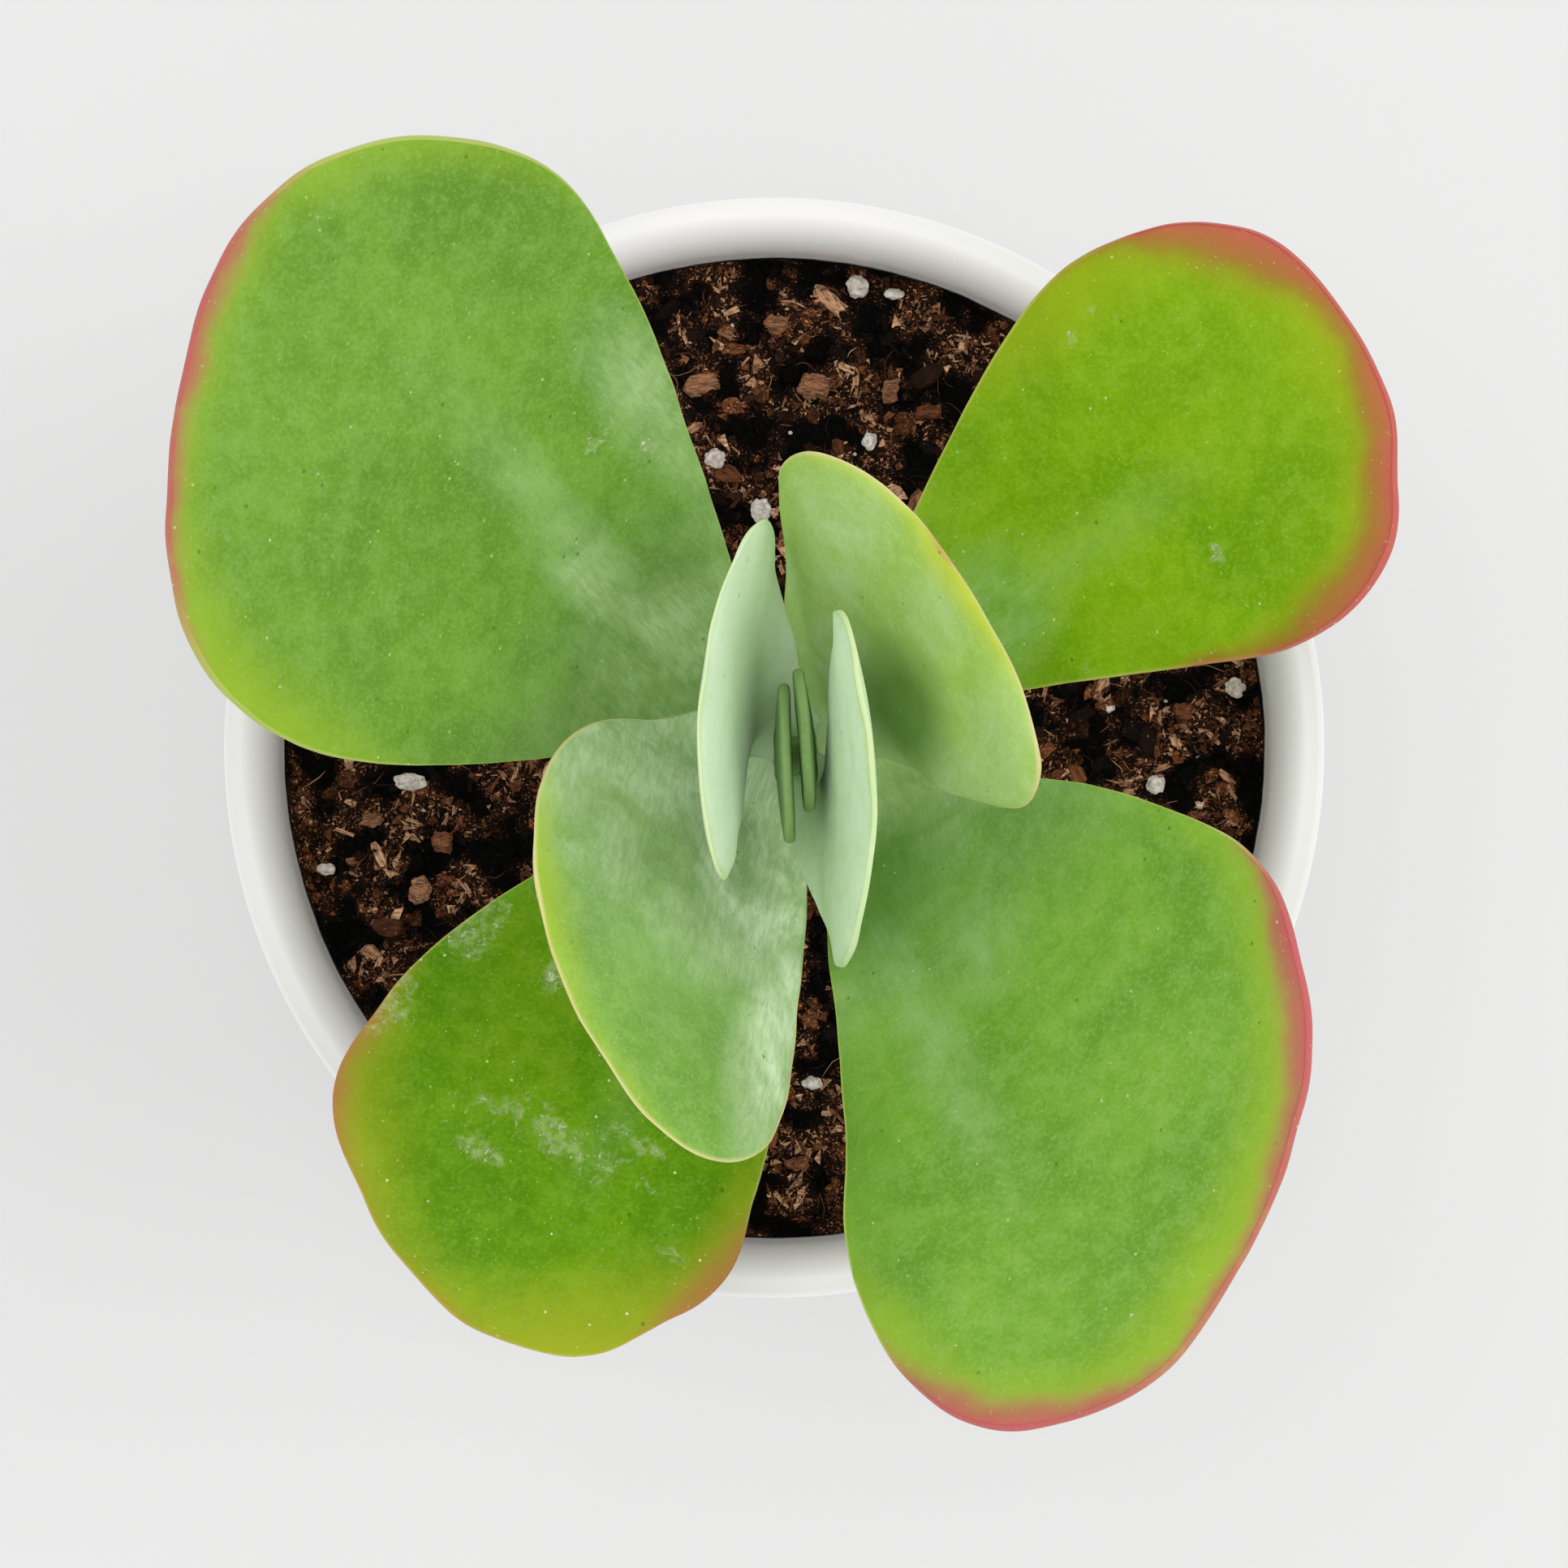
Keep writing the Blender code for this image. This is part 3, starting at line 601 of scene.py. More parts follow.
def make_pot(material):
    """The pot turned finely, its lip rolling down into the inner wall, and its drain holes cut."""
    side = pot_side()
    wall = pot_high.x - soil_high.x - 1.7 * MM
    top, floor = pot_high.z, soil_low.z - 0.3 * MM
    rim = pot_high.x - LIP_FLAT
    turns = np.linspace(0, math.pi / 2, 20)
    outer = [(side(h), h) for h in np.linspace(4 * MM, top - 3 * MM, 40)]
    lip = [(rim - LIP_ROLL * math.sin(t), top - LIP_DROP * (1 - math.cos(t))) for t in turns]
    inner = [(side(h) - wall, h) for h in np.linspace(top - WALL_START, floor + FLOOR_FILLET + 1 * MM, 32)]
    profile = [(0, 0), (outer[0][0] - 0.6 * MM, 0)] + outer + [(pot_high.x, top)] + lip
    profile += inner + [(inner[-1][0] - 0.5 * MM, floor), (0, floor)]
    section = rounded(profile, {1: 2.6 * MM, len(outer) + 2: 1.0 * MM, len(profile) - 2: FLOOR_FILLET}, 12)
    mesh = lathe("pot_glazed", section, 256)
    bm = bmesh.new()
    bm.from_mesh(mesh)
    bmesh.ops.recalc_face_normals(bm, faces=bm.faces)
    bm.to_mesh(mesh)
    bm.free()
    pot = new_object("pot_glazed", mesh)
    under, over, flare = -20 * MM, floor + 10 * MM, DRAIN_RADIUS + 10 * MM
    straight = [(DRAIN_RADIUS, 0.6 * MM), (DRAIN_RADIUS, floor - 0.6 * MM)]
    drain = [(0, under), (flare, under)] + straight + [(flare, over), (0, over)]
    for centre in drain_centres():
        cutter = new_object("drain", lathe("drain", drain, 40, centre))
        hole = pot.modifiers.new("drain", "BOOLEAN")
        hole.object = cutter
        hole.operation = "DIFFERENCE"
    cut = applied(pot)
    for obj in [o for o in bpy.data.objects if o.name.startswith("drain")] + [pot]:
        bpy.data.objects.remove(obj)
    cut.name = "pot_glazed"
    points = points_of(cut)
    radius = np.hypot(points[:, 0], points[:, 1])
    # inside marks the inner side, which the glaze tints brighter and pinker as painted light and dusts with
    # peat near the mix
    inward = np.clip((side(points[:, 2]) - radius - 1.2 * MM) / (3.2 * MM), 0, 1)
    paint_points(cut, "inside", inward * (points[:, 2] > floor / 2))
    paint_points(cut, "foot", points[:, 2] < 0.4 * MM)
    # edge marks the outermost 0.3 mm of the rim, where the glaze carries a painted highlight
    edge = np.clip((radius - pot_high.x + 0.35 * MM) / (0.3 * MM), 0, 1)
    paint_points(cut, "edge", edge * (points[:, 2] > top - 2 * MM))
    piece("pot_glazed", cut, material, "glaze", ["pot"])


def drain_centres():
    """Middles of the drain holes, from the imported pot's underside."""
    points = points_of(frame["nodes"]["pot"].data)
    radius = np.hypot(points[:, 0], points[:, 1])
    edge = points[(points[:, 2] < 0.1 * MM) & (radius > 5 * MM) & (radius < 0.5 * pot_high.x)]
    groups = []
    for point in edge:
        near = next((g for g in groups if np.linalg.norm(g[0] - point) < 2.2 * DRAIN_RADIUS), None)
        if near is None:
            groups.append([point])
        else:
            near.append(point)
    return [tuple((np.min(g, 0) + np.max(g, 0))[:2] / 2) for g in groups]


def soil_height(x, y):
    """The top of the mix: broad mounds, crumbs of three sizes, and a low bank against the pot."""
    spot = Vector((x, y, 0))
    height = 0.55 * fbm(spot, MOUND) + 0.45 * fbm(spot + Vector((0.3, 0, 0)), 4 * MM, 4)
    for size, tall in CRUMBS:
        height += tall * (0.45 - noise.voronoi(spot / size)[0][0])
    edge = max(0.0, (math.hypot(x, y) - SOIL_RADIUS + BANK) / BANK)
    return SOIL_TOP + (height + 0.9 * edge * edge - 0.25) * MM


def on_mix(x, y, lift):
    return np.array((x, y, soil_height(x, y) + lift))


def clump_tone(x, y):
    """How brown the mix is here: clumps of new bark and peat between hollows kept almost black, partly as
    painted shade of the deep gaps.
    """
    spot = Vector((x, y, 0.02))
    # Steep contrast, so that the hollows go near black as painted shade
    share = min(1.0, max(0.0, 0.46 + 1.8 * fbm(spot, CLUMP, 4)))
    return share * share * (3 - 2 * share)


def make_soil(material):
    """The mix as one closed surface: its uneven top, then its side down along the pot's wall."""
    rings, around = 130, 440
    radii = np.linspace(0, 1, rings + 1)[1:] ** 0.85 * (SOIL_RADIUS + 0.15 * MM)
    points, faces, tone = [(0, 0, soil_height(0, 0))], [], [0.5]
    for radius in radii:
        for i in range(around):
            x, y = on_circle(radius, i, around)
            points.append((x, y, soil_height(x, y)))
            tone.append(clump_tone(x, y))
    side = pot_side()
    depth = SOIL_RADIUS - side(SOIL_TOP - 1.2 * MM)
    levels = np.linspace(SOIL_TOP - 4 * MM, soil_low.z + 6 * MM, 14)
    lower = [(side(h) + depth - 0.1 * MM, h) for h in levels]
    lower += [(lower[-1][0] - 2 * MM, soil_low.z + 2 * MM), (lower[-1][0] - 6 * MM, soil_low.z)]
    for radius, height in lower:
        for i in range(around):
            points.append((*on_circle(radius, i, around), height))
            tone.append(0.2)
    total = rings + len(lower)
    for i in range(around):
        faces.append((0, 1 + i, 1 + (i + 1) % around))
    for ring in range(total - 1):
        a, b = 1 + ring * around, 1 + (ring + 1) * around
        for i in range(around):
            j = (i + 1) % around
            faces.append((a + i, b + i, b + j, a + j))
    last = 1 + (total - 1) * around
    faces.append([last + i for i in range(around)])
    mesh = mesh_of("soil_mix", points, faces)
    paint_points(mesh, "tone", tone)
    piece("soil_mix", mesh, material, "soil", ["soil"])


class Heap:
    """Many small solids gathered into one mesh, each with its own tone and grain."""

    def __init__(self):
        self.points, self.faces, self.tone, self.grain, self.count = [], [], [], [], 0

    def add(self, points, faces, tone, grain=None):
        self.faces += [[i + self.count for i in face] for face in faces]
        self.points.append(np.asarray(points, float))
        self.tone += [tone] * len(points)
        self.grain.append(np.asarray(points if grain is None else grain, float) / MM)
        self.count += len(points)

    def mesh(self, name):
        mesh = mesh_of(name, np.concatenate(self.points), self.faces)
        paint_points(mesh, "tone", self.tone)
        paint_points(mesh, "grain", np.concatenate(self.grain))
        return mesh

    def piece(self, name, *rest, **settings):
        return piece(name, self.mesh(name), *rest, **settings)


def lump(levels):
    """The points and faces of a ball to shape lumps from."""
    bm = bmesh.new()
    bmesh.ops.create_icosphere(bm, subdivisions=levels, radius=1)
    points = np.array([v.co for v in bm.verts])
    faces = [[v.index for v in f.verts] for f in bm.faces]
    bm.free()
    return points, faces


def turning(rng, tilt=math.pi):
    """A rotation matrix: any turn about Z, then a lean of up to tilt about a nearly level axis."""
    angle = rng.uniform(-tilt, tilt)
    lean = Matrix.Rotation(angle, 3, Vector((rng.gauss(0, 1), rng.gauss(0, 1), 0.01)).normalized())
    return np.array(lean @ Matrix.Rotation(rng.uniform(0, 2 * math.pi), 3, "Z"))


def spots(rng, count, reach=0.985, inner=0.0):
    """Places spread over the mix between two shares of its radius, clear of the stem."""
    while count:
        radius = SOIL_RADIUS * math.sqrt(rng.uniform(inner * inner, reach * reach))
        angle = rng.uniform(0, 2 * math.pi)
        x, y = radius * math.cos(angle), radius * math.sin(angle)
        if math.hypot(x - AXIS.x, y - AXIS.y) > STEM_SPACE:
            count -= 1
            yield x, y


def rough_lump(rng, shape, sizes, uneven, seed, flat=(0.45, 0.8)):
    """A lump with flattened sides: a ball cut by a few planes and pushed about by noise."""
    points, faces = shape
    points = points.copy()
    shift = Vector((seed * 1.37, seed * 0.71, seed * 0.29))
    for _ in range(5):
        normal = np.array(Vector((rng.gauss(0, 1), rng.gauss(0, 1), rng.gauss(0, 1))).normalized())
        level = rng.uniform(*flat)
        over = np.maximum(points @ normal - level, 0)
        points -= over[:, None] * normal * 0.9
    swell = np.array([1 + uneven * noise.noise(Vector(p) * 2.1 + shift) for p in points])
    return points * swell[:, None] * np.array(sizes) / 2, faces


def make_crumbs(material):
    rng = random.Random(11)
    fine, coarse = lump(1), lump(2)
    heap = Heap()
    places = list(spots(rng, 2300)) + list(spots(rng, 420, 0.994, 0.975))
    for i, (x, y) in enumerate(places):
        largest = 3.4 if math.hypot(x, y) < 0.97 * SOIL_RADIUS else 1.3
        size = min(0.7 + rng.expovariate(1.6), largest) * MM
        shape = coarse if size > 2.2 * MM else fine
        sizes = (size, size * rng.uniform(0.55, 1), size * rng.uniform(0.4, 0.8))
        points, faces = rough_lump(rng, shape, sizes, 0.5, i)
        points = points @ turning(rng, 0.7).T
        tone = min(1, clump_tone(x, y) * rng.uniform(0.3, 1.5))
        heap.add(points + on_mix(x, y, 0.12 * size), faces, tone)
    heap.piece("soil_crumbs", material, "soil", smooth=False)


def chip(rng, length, width, height, seed):
    """A split chip of bark: a ragged flat outline with uneven faces and its grain along its length."""
    corners = rng.randint(7, 10)
    outline = []
    for k in range(corners):
        angle = 2 * math.pi * (k + rng.uniform(-0.25, 0.25)) / corners
        reach = rng.uniform(0.72, 1.1)
        square = 1 / max(abs(math.cos(angle)), abs(math.sin(angle))) ** 0.6
        outline.append((math.cos(angle) * reach * square, math.sin(angle) * reach * square))
    layers = ((-1, 0.8), (-0.35, 1.0), (0.4, 0.97), (1, 0.72))
    points, faces = [], []
    shift = Vector((seed * 0.91, seed * 0.37, 3.0))
    for level, share in layers:
        for x, y in outline:
            wave = 0.35 * noise.noise(Vector((x * 1.5, y * 1.5, 0)) + shift)
            inset = share * (1 + 0.12 * noise.noise(Vector((x * 3, y * 3, level)) + shift))
            points.append((x * inset, y * inset, level + wave))
    top = len(points)
    points.append((0, 0, 1.1 + 0.3 * noise.noise(shift)))
    points.append((0, 0, -1))
    for layer in range(len(layers) - 1):
        for k in range(corners):
            j = (k + 1) % corners
            a, b = layer * corners, (layer + 1) * corners
            faces.append((a + k, a + j, b + j, b + k))
    for k in range(corners):
        j = (k + 1) % corners
        faces.append((top - corners + k, top - corners + j, top))
        faces.append((j, k, top + 1))
    return np.array(points) * np.array((length, width, height)) / 2, faces


def make_bark(material):
    """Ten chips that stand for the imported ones, and many more of all sizes among the crumbs."""
    rng = random.Random(23)
    for number in range(1, 11):
        low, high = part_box(f"bark_{number}")
        size = (high - low) * 0.93
        heap = Heap()
        points, faces = chip(rng, size.x, size.y, size.z, number)
        heap.add(points + np.array((low + high) / 2), faces, rng.uniform(0.45, 0.8), points)
        obj = heap.piece(f"bark_chip_{number}", material, "bark", [f"bark_{number}"], smooth=False)
        finer(obj, 3, 0.35, 0.9 * MM)
    heap = Heap()
    for i, (x, y) in enumerate(spots(rng, 330, 0.97)):
        length = min(1.4 + rng.expovariate(0.75), 5.5) * MM
        width, height = length * rng.uniform(0.3, 0.75), length * rng.uniform(0.14, 0.3)
        points, faces = chip(rng, length, width, height, 50 + i)
        grain = points.copy()
        points = points @ turning(rng, 0.55).T
        tone = min(1, max(0.05, clump_tone(x, y) * rng.uniform(0.5, 1.5)))
        heap.add(points + on_mix(x, y, 0.25 * height + 0.2 * MM), faces, tone, grain)
    heap.piece("bark_bits", material, "bark", smooth=False)


def finer(obj, levels, rough, size):
    """Subdivides a mesh for good and roughens it along its normals by a share of the noise's size."""
    split = obj.modifiers.new("split", "SUBSURF")
    split.subdivision_type = "SIMPLE"
    split.levels = split.render_levels = levels
    mesh = applied(obj)
    obj.modifiers.remove(split)
    points, normals = points_of(mesh), normals_of(mesh)
    push = np.array([fbm(Vector(p), size) for p in points]) * rough * size
    move_points(mesh, points + normals * push[:, None])
    mesh.shade_smooth()
    obj.data = mesh


def make_shards(material):
    """Thousands of tiny angular crumbs and flakes, thick on the brown clumps and sparse in the hollows."""
    rng = random.Random(29)
    picks = np.random.default_rng(29)
    heap = Heap()
    faces = [(0, 1, 2), (0, 3, 1), (1, 3, 2), (2, 3, 0)]
    for x, y in spots(rng, 42000, 0.985):
        tone = clump_tone(x, y)
        if rng.random() > 0.10 + 0.90 * tone:
            continue
        size = min(0.16 + rng.expovariate(4.0), 1.1) * MM
        points = picks.normal(size=(4, 3)) * np.array((size, size, 0.6 * size)) * 0.6
        lift = rng.uniform(0.0, 0.8) * tone * MM
        shade = min(1, max(0, tone * rng.gauss(0.62, 0.42)))
        heap.add(points + on_mix(x, y, lift), faces, shade)
    heap.piece("peat_shards", material, "soil", smooth=False)


def make_splinters(material):
    """Slivers of wood and bark, longer than the shards."""
    rng = random.Random(31)
    heap = Heap()
    box = np.array([(x, y, z) for z in (-1, 1) for x, y in ((-1, -0.7), (1, -1), (0.8, 0.9), (-0.9, 1))])
    faces = [(3, 2, 1, 0), (4, 5, 6, 7), (0, 1, 5, 4), (1, 2, 6, 5), (2, 3, 7, 6), (3, 0, 4, 7)]
    for x, y in spots(rng, 4200, 0.97):
        tone = clump_tone(x, y)
        if rng.random() > 0.15 + 0.85 * tone:
            continue
        length = min(0.5 + rng.expovariate(1.6), 2.6) * MM
        sizes = np.array((length, length * rng.uniform(0.10, 0.45), rng.uniform(0.08, 0.2) * MM)) / 2
        uneven = np.array([rng.uniform(0.45, 1.25) for _ in range(24)]).reshape(8, 3)
        grain = box * uneven * sizes
        points = grain @ turning(rng, 0.9).T
        lift = rng.uniform(0.1, 0.9) * MM
        heap.add(points + on_mix(x, y, lift), faces, min(1, tone * rng.uniform(0.3, 1.5)), grain)
    heap.piece("wood_splinters", material, "soil", smooth=False)


def make_fibres(material):
    """Thin strands of peat and root, lying over the crumbs."""
    rng = random.Random(37)
    heap = Heap()
    for x, y in spots(rng, 900, 0.93):
        length = min(1.0 + rng.expovariate(0.7), 6) * MM
        thick = rng.uniform(0.03, 0.10) * MM
        heading = rng.uniform(0, 2 * math.pi)
        bend = rng.uniform(-0.25, 0.25)
        steps = 8
        points, faces = [], []
        lift = rng.uniform(0.1, 0.9) * MM
        for k in range(steps):
            share = k / (steps - 1)
            x += math.cos(heading) * length / steps
            y += math.sin(heading) * length / steps
            heading += bend + rng.uniform(-0.3, 0.3)
            if math.hypot(x, y) > SOIL_RADIUS - 0.6 * MM:
                heading += math.pi / 2
            z = soil_height(x, y) + 0.15 * MM + lift * math.sin(math.pi * share)
            radius = thick * (1 - 0.6 * abs(2 * share - 1) ** 3)
            side, up = np.array((-math.sin(heading), math.cos(heading), 0)), np.array((0, 0, 1))
            for turn in range(4):
                a, b = on_circle(radius, turn, 4)
                points.append(np.array((x, y, z)) + a * side + b * up)
        for k in range(steps - 1):
            for turn in range(4):
                j = (turn + 1) % 4
                faces.append((4 * k + turn, 4 * k + 4 + turn, 4 * k + 4 + j, 4 * k + j))
        faces += [(0, 1, 2, 3), (4 * steps - 1, 4 * steps - 2, 4 * steps - 3, 4 * steps - 4)]
        heap.add(points, faces, min(1, clump_tone(x, y) * rng.uniform(0.4, 1.9)))
    heap.piece("peat_fibres", material, "soil")


def make_perlite(material):
    """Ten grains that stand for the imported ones, and a sprinkle of smaller ones."""
    rng = random.Random(41)
    for number in range(1, 11):
        low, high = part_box(f"perlite_{number}")
        size = (high - low) * 0.97
        points, faces = rough_lump(rng, lump(4), size, 0.30, number, (0.75, 0.95))
        heap = Heap()
        heap.add(points + np.array((low + high) / 2), faces, 0.5)
        mesh = heap.mesh(f"perlite_grain_{number}")
        push = np.array([fbm(Vector(p), 0.45 * MM) for p in points_of(mesh)]) * 0.06 * MM
        move_points(mesh, points_of(mesh) + normals_of(mesh) * push[:, None])
        piece(f"perlite_grain_{number}", mesh, material, "perlite", [f"perlite_{number}"])
    heap = Heap()
    small = lump(2)
    for i, (x, y) in enumerate(spots(rng, 60, 0.96)):
        size = min(0.45 + rng.expovariate(2.4), 1.7) * MM
        sizes = (size, size * rng.uniform(0.7, 1), size * rng.uniform(0.6, 0.9))
        points, faces = rough_lump(rng, small, sizes, 0.35, i)
        heap.add(points @ turning(rng).T + on_mix(x, y, 0.3 * size), faces, rng.random())
    heap.piece("perlite_bits", material, "perlite")


# Plant


def make_stem(material):
    """The stem, with a swollen ring and a scar line at each pair of leaves."""
    around, bottom, top = 48, SOIL_TOP - 4 * MM, stem_high.z
    nodes = sorted({round(leaf_foot(name)[0].z, 3) for name in LEAVES if "tip" not in name})
    base = (stem_high.x - stem_low.x) / 2 - 0.3 * MM
    levels = np.linspace(bottom, top, 120)
    profile, ring = [], []
    for level in levels:
        share = max(0.0, (level - SOIL_TOP) / (top - SOIL_TOP))
        collar = 0.2 * MM * max(0, 1 - (level - SOIL_TOP) / (2.5 * MM)) ** 2
        radius = base + (1.5 * MM - base) * share**2.2 + collar
        near = min(abs(level - n) for n in nodes)
        swell = math.exp(-((near / (1.3 * MM)) ** 2))
        profile.append((radius + 0.4 * MM * swell, level))
        ring.append(math.exp(-((near / (0.5 * MM)) ** 2)))
    profile = [(0, bottom)] + profile + [(profile[-1][0] * 0.6, top + 0.25 * MM), (0, top + 0.35 * MM)]
    ring = [0] + ring + [0, 0]
    mesh = lathe("stem_green", profile, around, AXIS)
    points = points_of(mesh)
    out = points - np.array(AXIS)
    out[:, 2] = 0
    swell = np.array([0.10 * fbm(Vector((p[0], p[1], p[2] * 0.5)), 2.5 * MM) for p in points]) * MM
    length = np.maximum(np.linalg.norm(out, axis=1), 1e-9)
    points += out / length[:, None] * swell[:, None]
    move_points(mesh, points)
    paint_points(mesh, "height", (points[:, 2] - SOIL_TOP) / (top - SOIL_TOP))
    paint_points(mesh, "ring", np.interp(points[:, 2], [h for _, h in profile], ring))
    piece("stem_green", mesh, material, "stem", ["stem"])


def leaf_foot(name):
    """A leaf's foot and tip, and the directions along it, to its left and out of its upper side."""
    points = points_of(frame["nodes"][name].data)
    lowest = points[points[:, 2].argmin()]
    start = np.array((AXIS.x, AXIS.y, lowest[2]))
    order = np.linalg.norm(points - start, axis=1).argsort()
    foot = points[order[:24]].mean(0)
    tip = points[np.linalg.norm(points - foot, axis=1).argmax()]
    along = (tip - foot) / np.linalg.norm(tip - foot)
    spread = points - points.mean(0)
    normal = np.linalg.svd(spread, full_matrices=False)[2][2]
    normal -= along * (normal @ along)
    normal /= np.linalg.norm(normal)
    outward = foot - start
    outward[2] = 0
    if np.linalg.norm(outward) < 1e-6:
        outward = tip - start
    outward /= np.linalg.norm(outward)
    if normal @ (np.array((0, 0, 1)) - outward) < 0:
        normal = -normal
    return Vector(foot), Vector(tip), along, np.cross(normal, along), normal


def leaf_cage(name):
    """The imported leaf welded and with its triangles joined, and each vertex's part in the rolled margin."""
    bm = bmesh.new()
    bm.from_mesh(frame["nodes"][name].data)
    bmesh.ops.remove_doubles(bm, verts=bm.verts, dist=0.005 * MM)
    bmesh.ops.join_triangles(
        bm, faces=bm.faces, angle_face_threshold=math.radians(22), angle_shape_threshold=math.radians(65)
    )
    bmesh.ops.recalc_face_normals(bm, faces=bm.faces)
    bm.normal_update()
    folded = {e for e in bm.edges if len(e.link_faces) == 2 and e.calc_face_angle(0) > math.radians(24)}
    layer = bm.verts.layers.float.new("fold")
    for face in bm.faces:
        if sum(e in folded for e in face.edges) >= 2:
            for vertex in face.verts:
                vertex[layer] = 1
    mesh = bpy.data.meshes.new(name)
    bm.to_mesh(mesh)
    bm.free()
    return mesh


def bulge(angle, centre, width):
    """1 at an angle in degrees, falling smoothly to 0 at width away from it."""
    away = np.abs((angle - centre + 180) % 360 - 180) / width
    return np.where(away < 1, 0.5 + 0.5 * np.cos(np.pi * np.minimum(away, 1)), 0)


def nearest(among, points):
    """For each point, which of the others is nearest, and how far it is."""
    tree = KDTree(len(among))
    for i, place in enumerate(among):
        tree.insert(place, i)
    tree.balance()
    found = [tree.find(p) for p in points]
    return np.array([f[1] for f in found]), np.array([f[2] for f in found])


def make_leaf(name, settings, material):
    """A leaf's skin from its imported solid, with the attributes that its material reads."""
    foot, tip, along, left, normal = leaf_foot(name)
    foot = np.array(foot)
    length = np.linalg.norm(np.array(tip) - foot)
    obj = new_object(name + "_skin", leaf_cage(name))
    smooth = obj.modifiers.new("smooth", "SUBSURF")
    smooth.levels = smooth.render_levels = 3
    mesh = applied(obj)
    bpy.data.objects.remove(obj)
    mesh.name = name + "_skin"

    points, normals = points_of(mesh), normals_of(mesh)
    fold = np.zeros(len(points), np.float32)
    mesh.attributes["fold"].data.foreach_get("value", fold)
    mesh.attributes.remove(mesh.attributes["fold"])
    local = points - foot
    run, across, through = local @ along, local @ left, local @ normal
    share = np.clip(run / length, 0, 1)
    upper_face = np.flatnonzero((fold < 0.02) & (normals @ normal > 0.2))
    blade = normals[upper_face][nearest(points[upper_face], points)[0]]
    facing = np.einsum("ij,ij->i", normals, blade)
    edge = np.flatnonzero((np.abs(facing) < 0.3) & (run > 0.06 * length))
    margin = nearest(points[edge], points)[1]

    middle = LEAF_MIDDLE * length
    angle = np.degrees(np.arctan2(across, run - middle))
    away = np.hypot(across, run - middle) / length
    blush = sum((s * bulge(angle, c, w) for c, w, s in settings.get("blush", ())), 0 * share)
    gold = sum(s * bulge(angle, c, w) for c, w, s in settings["gold"])
    settle = np.clip((away - 0.10) / 0.12, 0, 1) * np.clip((share - 0.05) / 0.2, 0, 1)
    paint_points(mesh, "margin", margin / MM)
    paint_points(mesh, "blush", np.clip(blush * settle, 0, 1))
    paint_points(mesh, "gold", np.clip(gold * settle, 0, 1))
    paint_points(mesh, "along", share)
    paint_points(mesh, "under", np.clip(0.5 - 2.5 * facing, 0, 1))
    paint_points(mesh, "blade", np.stack((run, across, through), 1) / MM)
    for kind in ("frost_and_painted_light", "fresh", "scale"):
        marks = np.zeros(len(points))
        for a, b, long, wide, strength in settings.get(kind, ()):
            near = np.hypot((run - a * MM) / (long * MM), (across - b * MM) / (wide * MM))
            marks = np.maximum(marks, strength * np.clip(1.6 - 1.6 * near, 0, 1) * (facing > 0.1))
        paint_points(mesh, kind, marks)

    # A gently uneven blade, a wavy edge, and a faint channel down the upper side near the foot
    seed = Vector((settings["seed"] * 0.11, 0, 0))
    swell = np.array([fbm(Vector(p) + seed, SWELL_SIZE, 2) for p in points])
    fine = np.array([fbm(Vector(p) - seed, FINE_SIZE, 2) for p in points])
    wave = np.array([fbm(Vector(p) + seed * 3, WAVE_SIZE, 2) for p in points])
    near_edge = np.clip(1 - margin / WAVY_EDGE, 0, 1) ** 2
    grown = settings.get("rough", 1.0) * np.clip(share / 0.25, 0, 1)
    push = (0.32 * swell * MM * np.clip(1 - 0.5 * near_edge, 0, 1)) * grown
    points += blade * push[:, None] + normals * (0.05 * fine * MM * grown)[:, None]
    points += blade * (0.75 * wave * near_edge * grown * MM)[:, None]
    thinner = settings.get("thinned", 0.45) * np.clip(1 - margin / THIN_EDGE, 0, 1) ** 1.5
    points -= blade * (facing * thinner * MM)[:, None]
    upper = np.clip(facing, 0, 1)
    channel = np.exp(-((across / CHANNEL_WIDTH) ** 2)) * np.clip(1 - share / 0.55, 0, 1) * upper
    points -= blade * (0.35 * MM * channel)[:, None]

    # The outline swells or draws in over some arcs, and may be broader to the left just above the foot
    reach = sum((mm * bulge(angle, c, w) for c, w, mm in settings.get("reach", ())), 0 * share)
    reach *= np.clip(1 - margin / STRETCH_EDGE, 0, 1)
    turn = np.radians(angle)
    points += (np.outer(np.cos(turn), along) + np.outer(np.sin(turn), left)) * (reach * MM)[:, None]
    near_foot = 0.5 + 0.5 * np.cos(np.pi * np.clip(run / (11 * MM) - 1, -1, 1))
    flare = settings.get("flare", 0) * MM * np.clip(across / (7 * MM), 0, 1) * near_foot
    points += left * flare[:, None]

    # The foot closes onto the stem
    start = np.array((AXIS.x, AXIS.y, foot[2]))
    inward = start - foot
    inward[2] = 0
    close = np.clip(1 - run / FOOT_REACH, 0, 1) ** 2
    points += inward * (settings.get("join", 0.9) * close)[:, None]
    move_points(mesh, points)
    piece(name + "_skin", mesh, material, settings["slot"], [name])
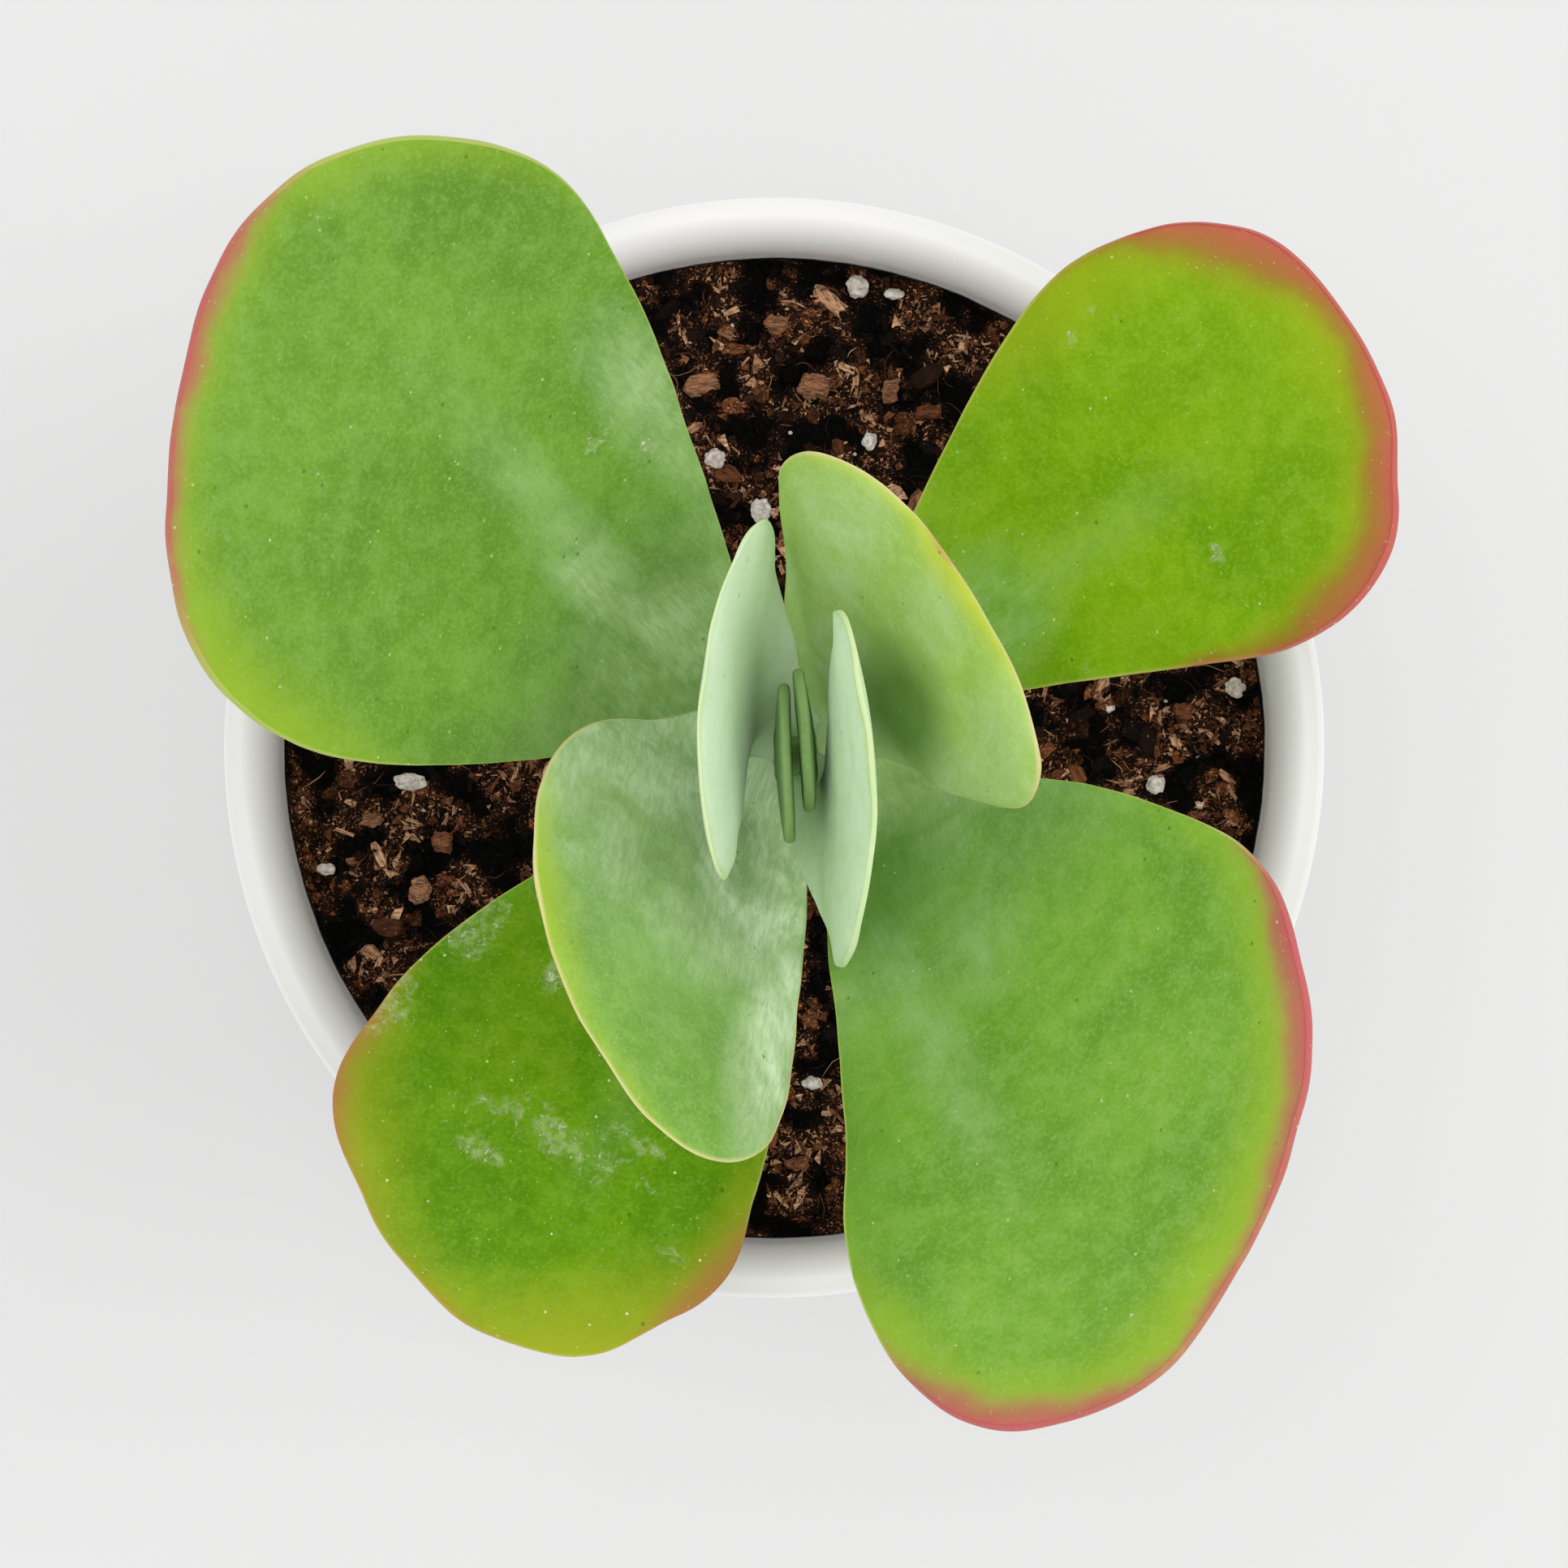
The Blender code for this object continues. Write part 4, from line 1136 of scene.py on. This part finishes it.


# Each leaf's looks. Angles run round the blade's middle from its tip, positive to its left: red and
# yellow are (middle of the arc, half its spread, strength). Patches of frost (bloom, partly painted light),
# of painted shade in a deeper green, and of scale are (along, across, half length, half width, strength),
# with sizes in millimetres.
LEAVES = {
    "leaf_low_right": dict(
        looks=OLD_LOOKS, slot="leaf_old", seed=1,
        blush=[(-12, 48, 0.75), (-55, 45, 0.65), (38, 36, 0.95), (-98, 34, 0.35), (75, 30, 0.25)],
        gold=[(0, 150, 0.9), (90, 60, 0.5)],
        frost_and_painted_light=[(24, 0, 18, 10, 1.0)],
        scale=[
            (59, 21, 1.8, 1.5, 0.5), (55, 20, 2, 1.6, 0.5), (57, -9, 1.4, 2.4, 0.6), (36, -12, 2, 1.6, 0.5),
        ],
        reach=[(60, 18, -0.6), (28, 20, 0.9), (-24, 16, -0.9), (-66, 36, 0.9)],
    ),
    "leaf_low_left": dict(
        looks=OLDEST_LOOKS, slot="leaf_old", seed=2,
        blush=[(55, 45, 0.62), (-75, 50, 0.5), (-15, 60, 0.3)],
        gold=[(16, 60, 1.0), (75, 50, 0.6), (-60, 60, 0.8)],
        scale=[
            (56, -12, 1.8, 4.5, 0.8), (51, -4.5, 3.2, 4.5, 1.0), (47, 4, 1.5, 5.5, 0.8),
            (51, -4, 4, 17, 0.42), (32, -24, 7, 4.5, 0.75), (45, -28, 7, 3.5, 0.65),
            (33, -13, 5, 2.5, 0.7), (57, 12, 1.6, 3.4, 0.5),
        ],
        reach=[(-66, 24, 1.7), (-34, 20, 0.7), (-10, 22, 1.1), (14, 18, 0.6), (36, 14, -0.6), (62, 24, 1.2)],
    ),
    "leaf_large_left": dict(
        looks=LARGEST_LOOKS, slot="leaf_grown", seed=3,
        blush=[(38, 50, 0.55), (4, 34, 0.36)], gold=[(78, 50, 0.9), (20, 60, 0.6), (-35, 50, 0.45)],
        # The frost at the foot is partly painted light in the shade of the leaves above
        frost_and_painted_light=[(35, 1, 22, 6, 1.0), (18, 2, 22, 15, 1.2), (44, -17, 22, 8, 0.75)],
        scale=[(50, -10, 2, 3.5, 0.6), (43, -13, 3, 2, 0.6)],
        reach=[(2, 34, 2.6), (-58, 26, 0.9), (80, 45, 0.6)],
    ),
    "leaf_large_right": dict(
        looks=GROWN_LOOKS, slot="leaf_grown", seed=4,
        blush=[(70, 44, 0.85), (28, 35, 0.5), (-20, 44, 0.8)], gold=[(0, 170, 0.9), (60, 60, 0.7)],
        # Painted shade along the left edge and near the foot, under the leaves above
        frost_and_painted_light=[(36, 10, 12, 9, 0.5)], fresh=[(42, -18, 34, 12, 0.9), (20, -2, 12, 16, 0.9)], flare=2.4,
        reach=[(92, 26, 1.1), (6, 22, 1.6), (-78, 42, 1.2), (-35, 16, -0.4)],
    ),
    "leaf_cupped_right": dict(
        looks=CUPPED_LOOKS, slot="leaf_young", seed=5,
        blush=[(-5, 35, 0.4)], gold=[(-20, 50, 0.9), (30, 50, 0.4)],
        frost_and_painted_light=[(38, 8, 24, 9, 0.55), (34, -20, 22, 8, 0.55), (44, -6, 10, 7, 0.5)],
        # Painted shade where the inner leaf beside it lies over it
        fresh=[(24, -8, 16, 9, 1.0)],
    ),
    "leaf_cupped_left": dict(
        looks=BLOOMED_LOOKS, slot="leaf_young", seed=6,
        blush=[(-60, 50, 0.35)], gold=[(-75, 55, 0.9), (-20, 40, 0.5)],
        frost_and_painted_light=[(14, 0, 26, 15, 1.15), (36, 9, 26, 9, 1.1)],
    ),
    "leaf_inner_left": dict(looks=PAINTED_LIGHT_INNER_LOOKS, slot="leaf_inner", seed=7, gold=[(0, 180, 0.5)], rough=0.8),
    "leaf_inner_right": dict(looks=INNER_LOOKS, slot="leaf_inner", seed=8, gold=[(0, 180, 0.6)], rough=0.8),
}
for tip_name, tip_seed in (("leaf_tip_left", 9), ("leaf_tip_right", 10)):
    LEAVES[tip_name] = dict(
        looks=TIP_LOOKS, slot="leaf_inner", seed=tip_seed, gold=[(0, 180, 0.4)],
        rough=0.3, join=0, thinned=-0.2,
    )


def make_leaves():
    for name, settings in LEAVES.items():
        material = leaf_material(name.removeprefix("leaf_"), settings["looks"], "scale" in settings)
        make_leaf(name, settings, material)


# Stage


def make_floor():
    mesh = bpy.data.meshes.new("floor")
    bm = bmesh.new()
    bmesh.ops.create_grid(bm, x_segments=1, y_segments=1, size=4)
    bm.to_mesh(mesh)
    bm.free()
    floor = new_object("floor", mesh)
    paint = Paint("floor", roughness=0.9, specular=0.0)
    tint = paint.mix(paint.noise(300, 2), colour(217, 217, 217), colour(219, 219, 219))
    mesh.materials.append(paint.finish(tint))


def make_camera():
    """Straight above the pot, with the far side of the pot at the top of the view."""
    data = bpy.data.cameras.new("camera")
    data.lens = 105
    data.sensor_width = 36
    data.clip_start = 0.01
    camera = new_object("camera", data)
    camera.location = (AXIS.x - 1.25 * MM, AXIS.y - 3.1 * MM, pot_high.z + 539 * MM)
    bpy.context.scene.camera = camera


def make_light(name, power, place):
    """A wide soft disc, aimed at the rim."""
    data = bpy.data.lights.new(name, "AREA")
    data.shape = "DISK"
    data.size = 1.2
    data.energy = power
    light = new_object(name, data)
    light.location = place
    aim = Vector((0, 0, 0.12)) - Vector(place)
    light.rotation_euler = aim.to_track_quat("-Z", "Y").to_euler()


def make_lights():
    world = bpy.data.worlds.new("studio")
    bpy.context.scene.world = world
    world.use_nodes = True
    sky = world.node_tree.nodes["Background"]
    sky.inputs["Color"].default_value = (1, 1, 1, 1)
    sky.inputs["Strength"].default_value = 0.99
    make_light("key", 9, (-0.30, 0.30, 2.6))
    make_light("fill", 9, (1.3, 0.1, 2.0))
    bpy.context.scene.view_settings.view_transform = "Standard"


make_camera()
make_lights()
make_floor()
make_pot(glaze_material())
# The near-black dark ends of the peat stand partly for painted shade in the gaps of the mix
make_soil(peat_material("peat", colour(2, 1, 1), colour(60, 34, 22)))
make_crumbs(peat_material("peat_crumbs", colour(3, 2, 1), colour(146, 86, 52)))
bark = bark_material()
make_bark(bark)
make_shards(bark)
make_splinters(bark)
make_fibres(fibre_material())
make_perlite(perlite_material())
make_stem(stem_material())
make_leaves()
roots = frame["nodes"]["roots"]
roots.data.materials.clear()
roots.data.materials.append(root_material())
